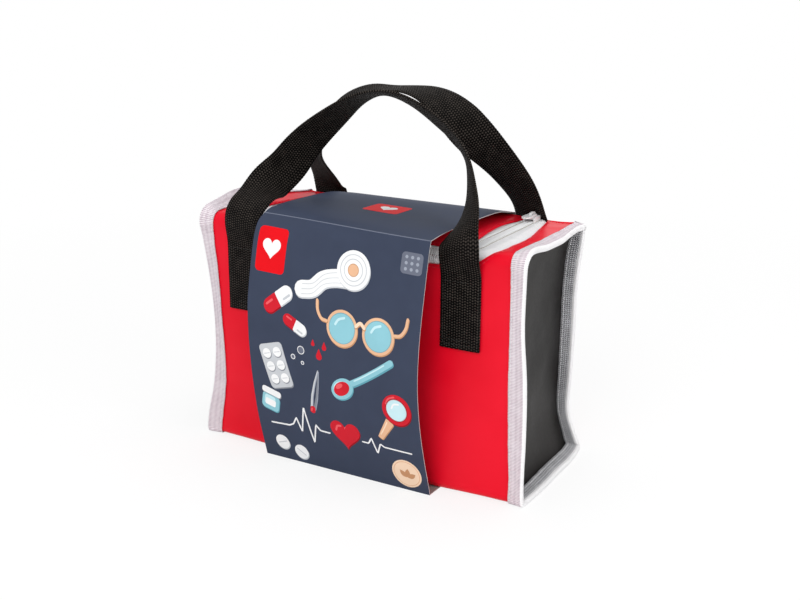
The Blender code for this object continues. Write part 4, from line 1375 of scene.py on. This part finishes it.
# Lamps: place, size, power
LAMPS = {
    "key": ((0.25, -1.7, 1.35), 1.1, 16),
    "fill": ((1.7, -0.5, 0.9), 1.2, 9),
    "top": ((0.1, 0.4, 1.9), 1.4, 10),
}
LAMP_TARGET = Vector((0, 0, 0.1))
CAMERA_PLACE = (0.44916, -0.76162, 0.37902)
CAMERA_TILT, CAMERA_TURN, CAMERA_LENS = 90 - 16.74, 30.234, 55.56


def seen_directly(tree):
    """One for camera, glossy and transmission rays, so that the plain white shows in all of them."""
    path = tree.nodes.new("ShaderNodeLightPath")
    total = path.outputs["Is Camera Ray"]
    for name in ("Is Glossy Ray", "Is Transmission Ray"):
        total = add_node(tree, "ShaderNodeMath", total, path.outputs[name], operation="MAXIMUM")
    return total


def floor_material():
    """Grey for light, mixed with plain white where it is seen, so that the shadow stays."""
    material = bpy.data.materials.new("floor")
    material.use_nodes = True
    tree = material.node_tree
    tree.nodes.remove(tree.nodes["Principled BSDF"])
    grey = add_node(tree, "ShaderNodeBsdfDiffuse", Color=(FLOOR_SHADE, FLOOR_SHADE, FLOOR_SHADE, 1))
    white = add_node(tree, "ShaderNodeEmission")
    away = tree.nodes.new("ShaderNodeVectorMath")
    away.operation = "LENGTH"
    tree.links.new(object_coordinates(tree), away.inputs[0])
    whiter = add_node(tree, "ShaderNodeMapRange", away.outputs["Value"], From_Min=NEAR, From_Max=FAR,
                      To_Min=FLOOR_WHITE_NEAR)
    share = add_node(tree, "ShaderNodeMath", whiter, seen_directly(tree), operation="MULTIPLY")
    mix = add_node(tree, "ShaderNodeMixShader", share, grey, white)
    tree.links.new(mix, tree.nodes["Material Output"].inputs["Surface"])
    return material


def build_world():
    world = bpy.data.worlds.new("studio")
    bpy.context.scene.world = world
    world.use_nodes = True
    tree = world.node_tree
    tree.nodes.remove(tree.nodes["Background"])
    lit, white = (add_node(tree, "ShaderNodeBackground", Color=(1, 1, 1, 1), Strength=strength)
                  for strength in (WORLD_STRENGTH, 1.0))
    mix = add_node(tree, "ShaderNodeMixShader", seen_directly(tree), lit, white)
    tree.links.new(mix, tree.nodes["World Output"].inputs["Surface"])


def build_stage():
    bpy.ops.mesh.primitive_plane_add(size=40)
    floor = bpy.context.object
    floor.name = "floor"
    floor.data.materials.append(floor_material())
    build_world()
    scene = bpy.context.scene
    for name, (place, size, power) in LAMPS.items():
        data = bpy.data.lights.new(name, "AREA")
        data.shape = "DISK"
        data.size = size
        data.energy = power
        lamp = bpy.data.objects.new(name, data)
        scene.collection.objects.link(lamp)
        lamp.location = place
        lamp.rotation_euler = (LAMP_TARGET - Vector(place)).to_track_quat("-Z", "Y").to_euler()
    data = bpy.data.cameras.new("camera")
    data.lens = CAMERA_LENS
    data.sensor_width = 36
    data.clip_start, data.clip_end = 0.01, 100
    camera = bpy.data.objects.new("camera", data)
    scene.collection.objects.link(camera)
    camera.location = CAMERA_PLACE
    camera.rotation_euler = (math.radians(CAMERA_TILT), 0, math.radians(CAMERA_TURN))
    scene.camera = camera
    scene.view_settings.view_transform = "Standard"


build_stage()
build_fabric()
build_zip()
build_ends()
build_handle("front_webbing", -1, FRONT_ROUTE, "front_handle")
build_handle("rear_webbing", 1, REAR_ROUTE, "rear_handle")
build_band()
build_print()
build_slider()
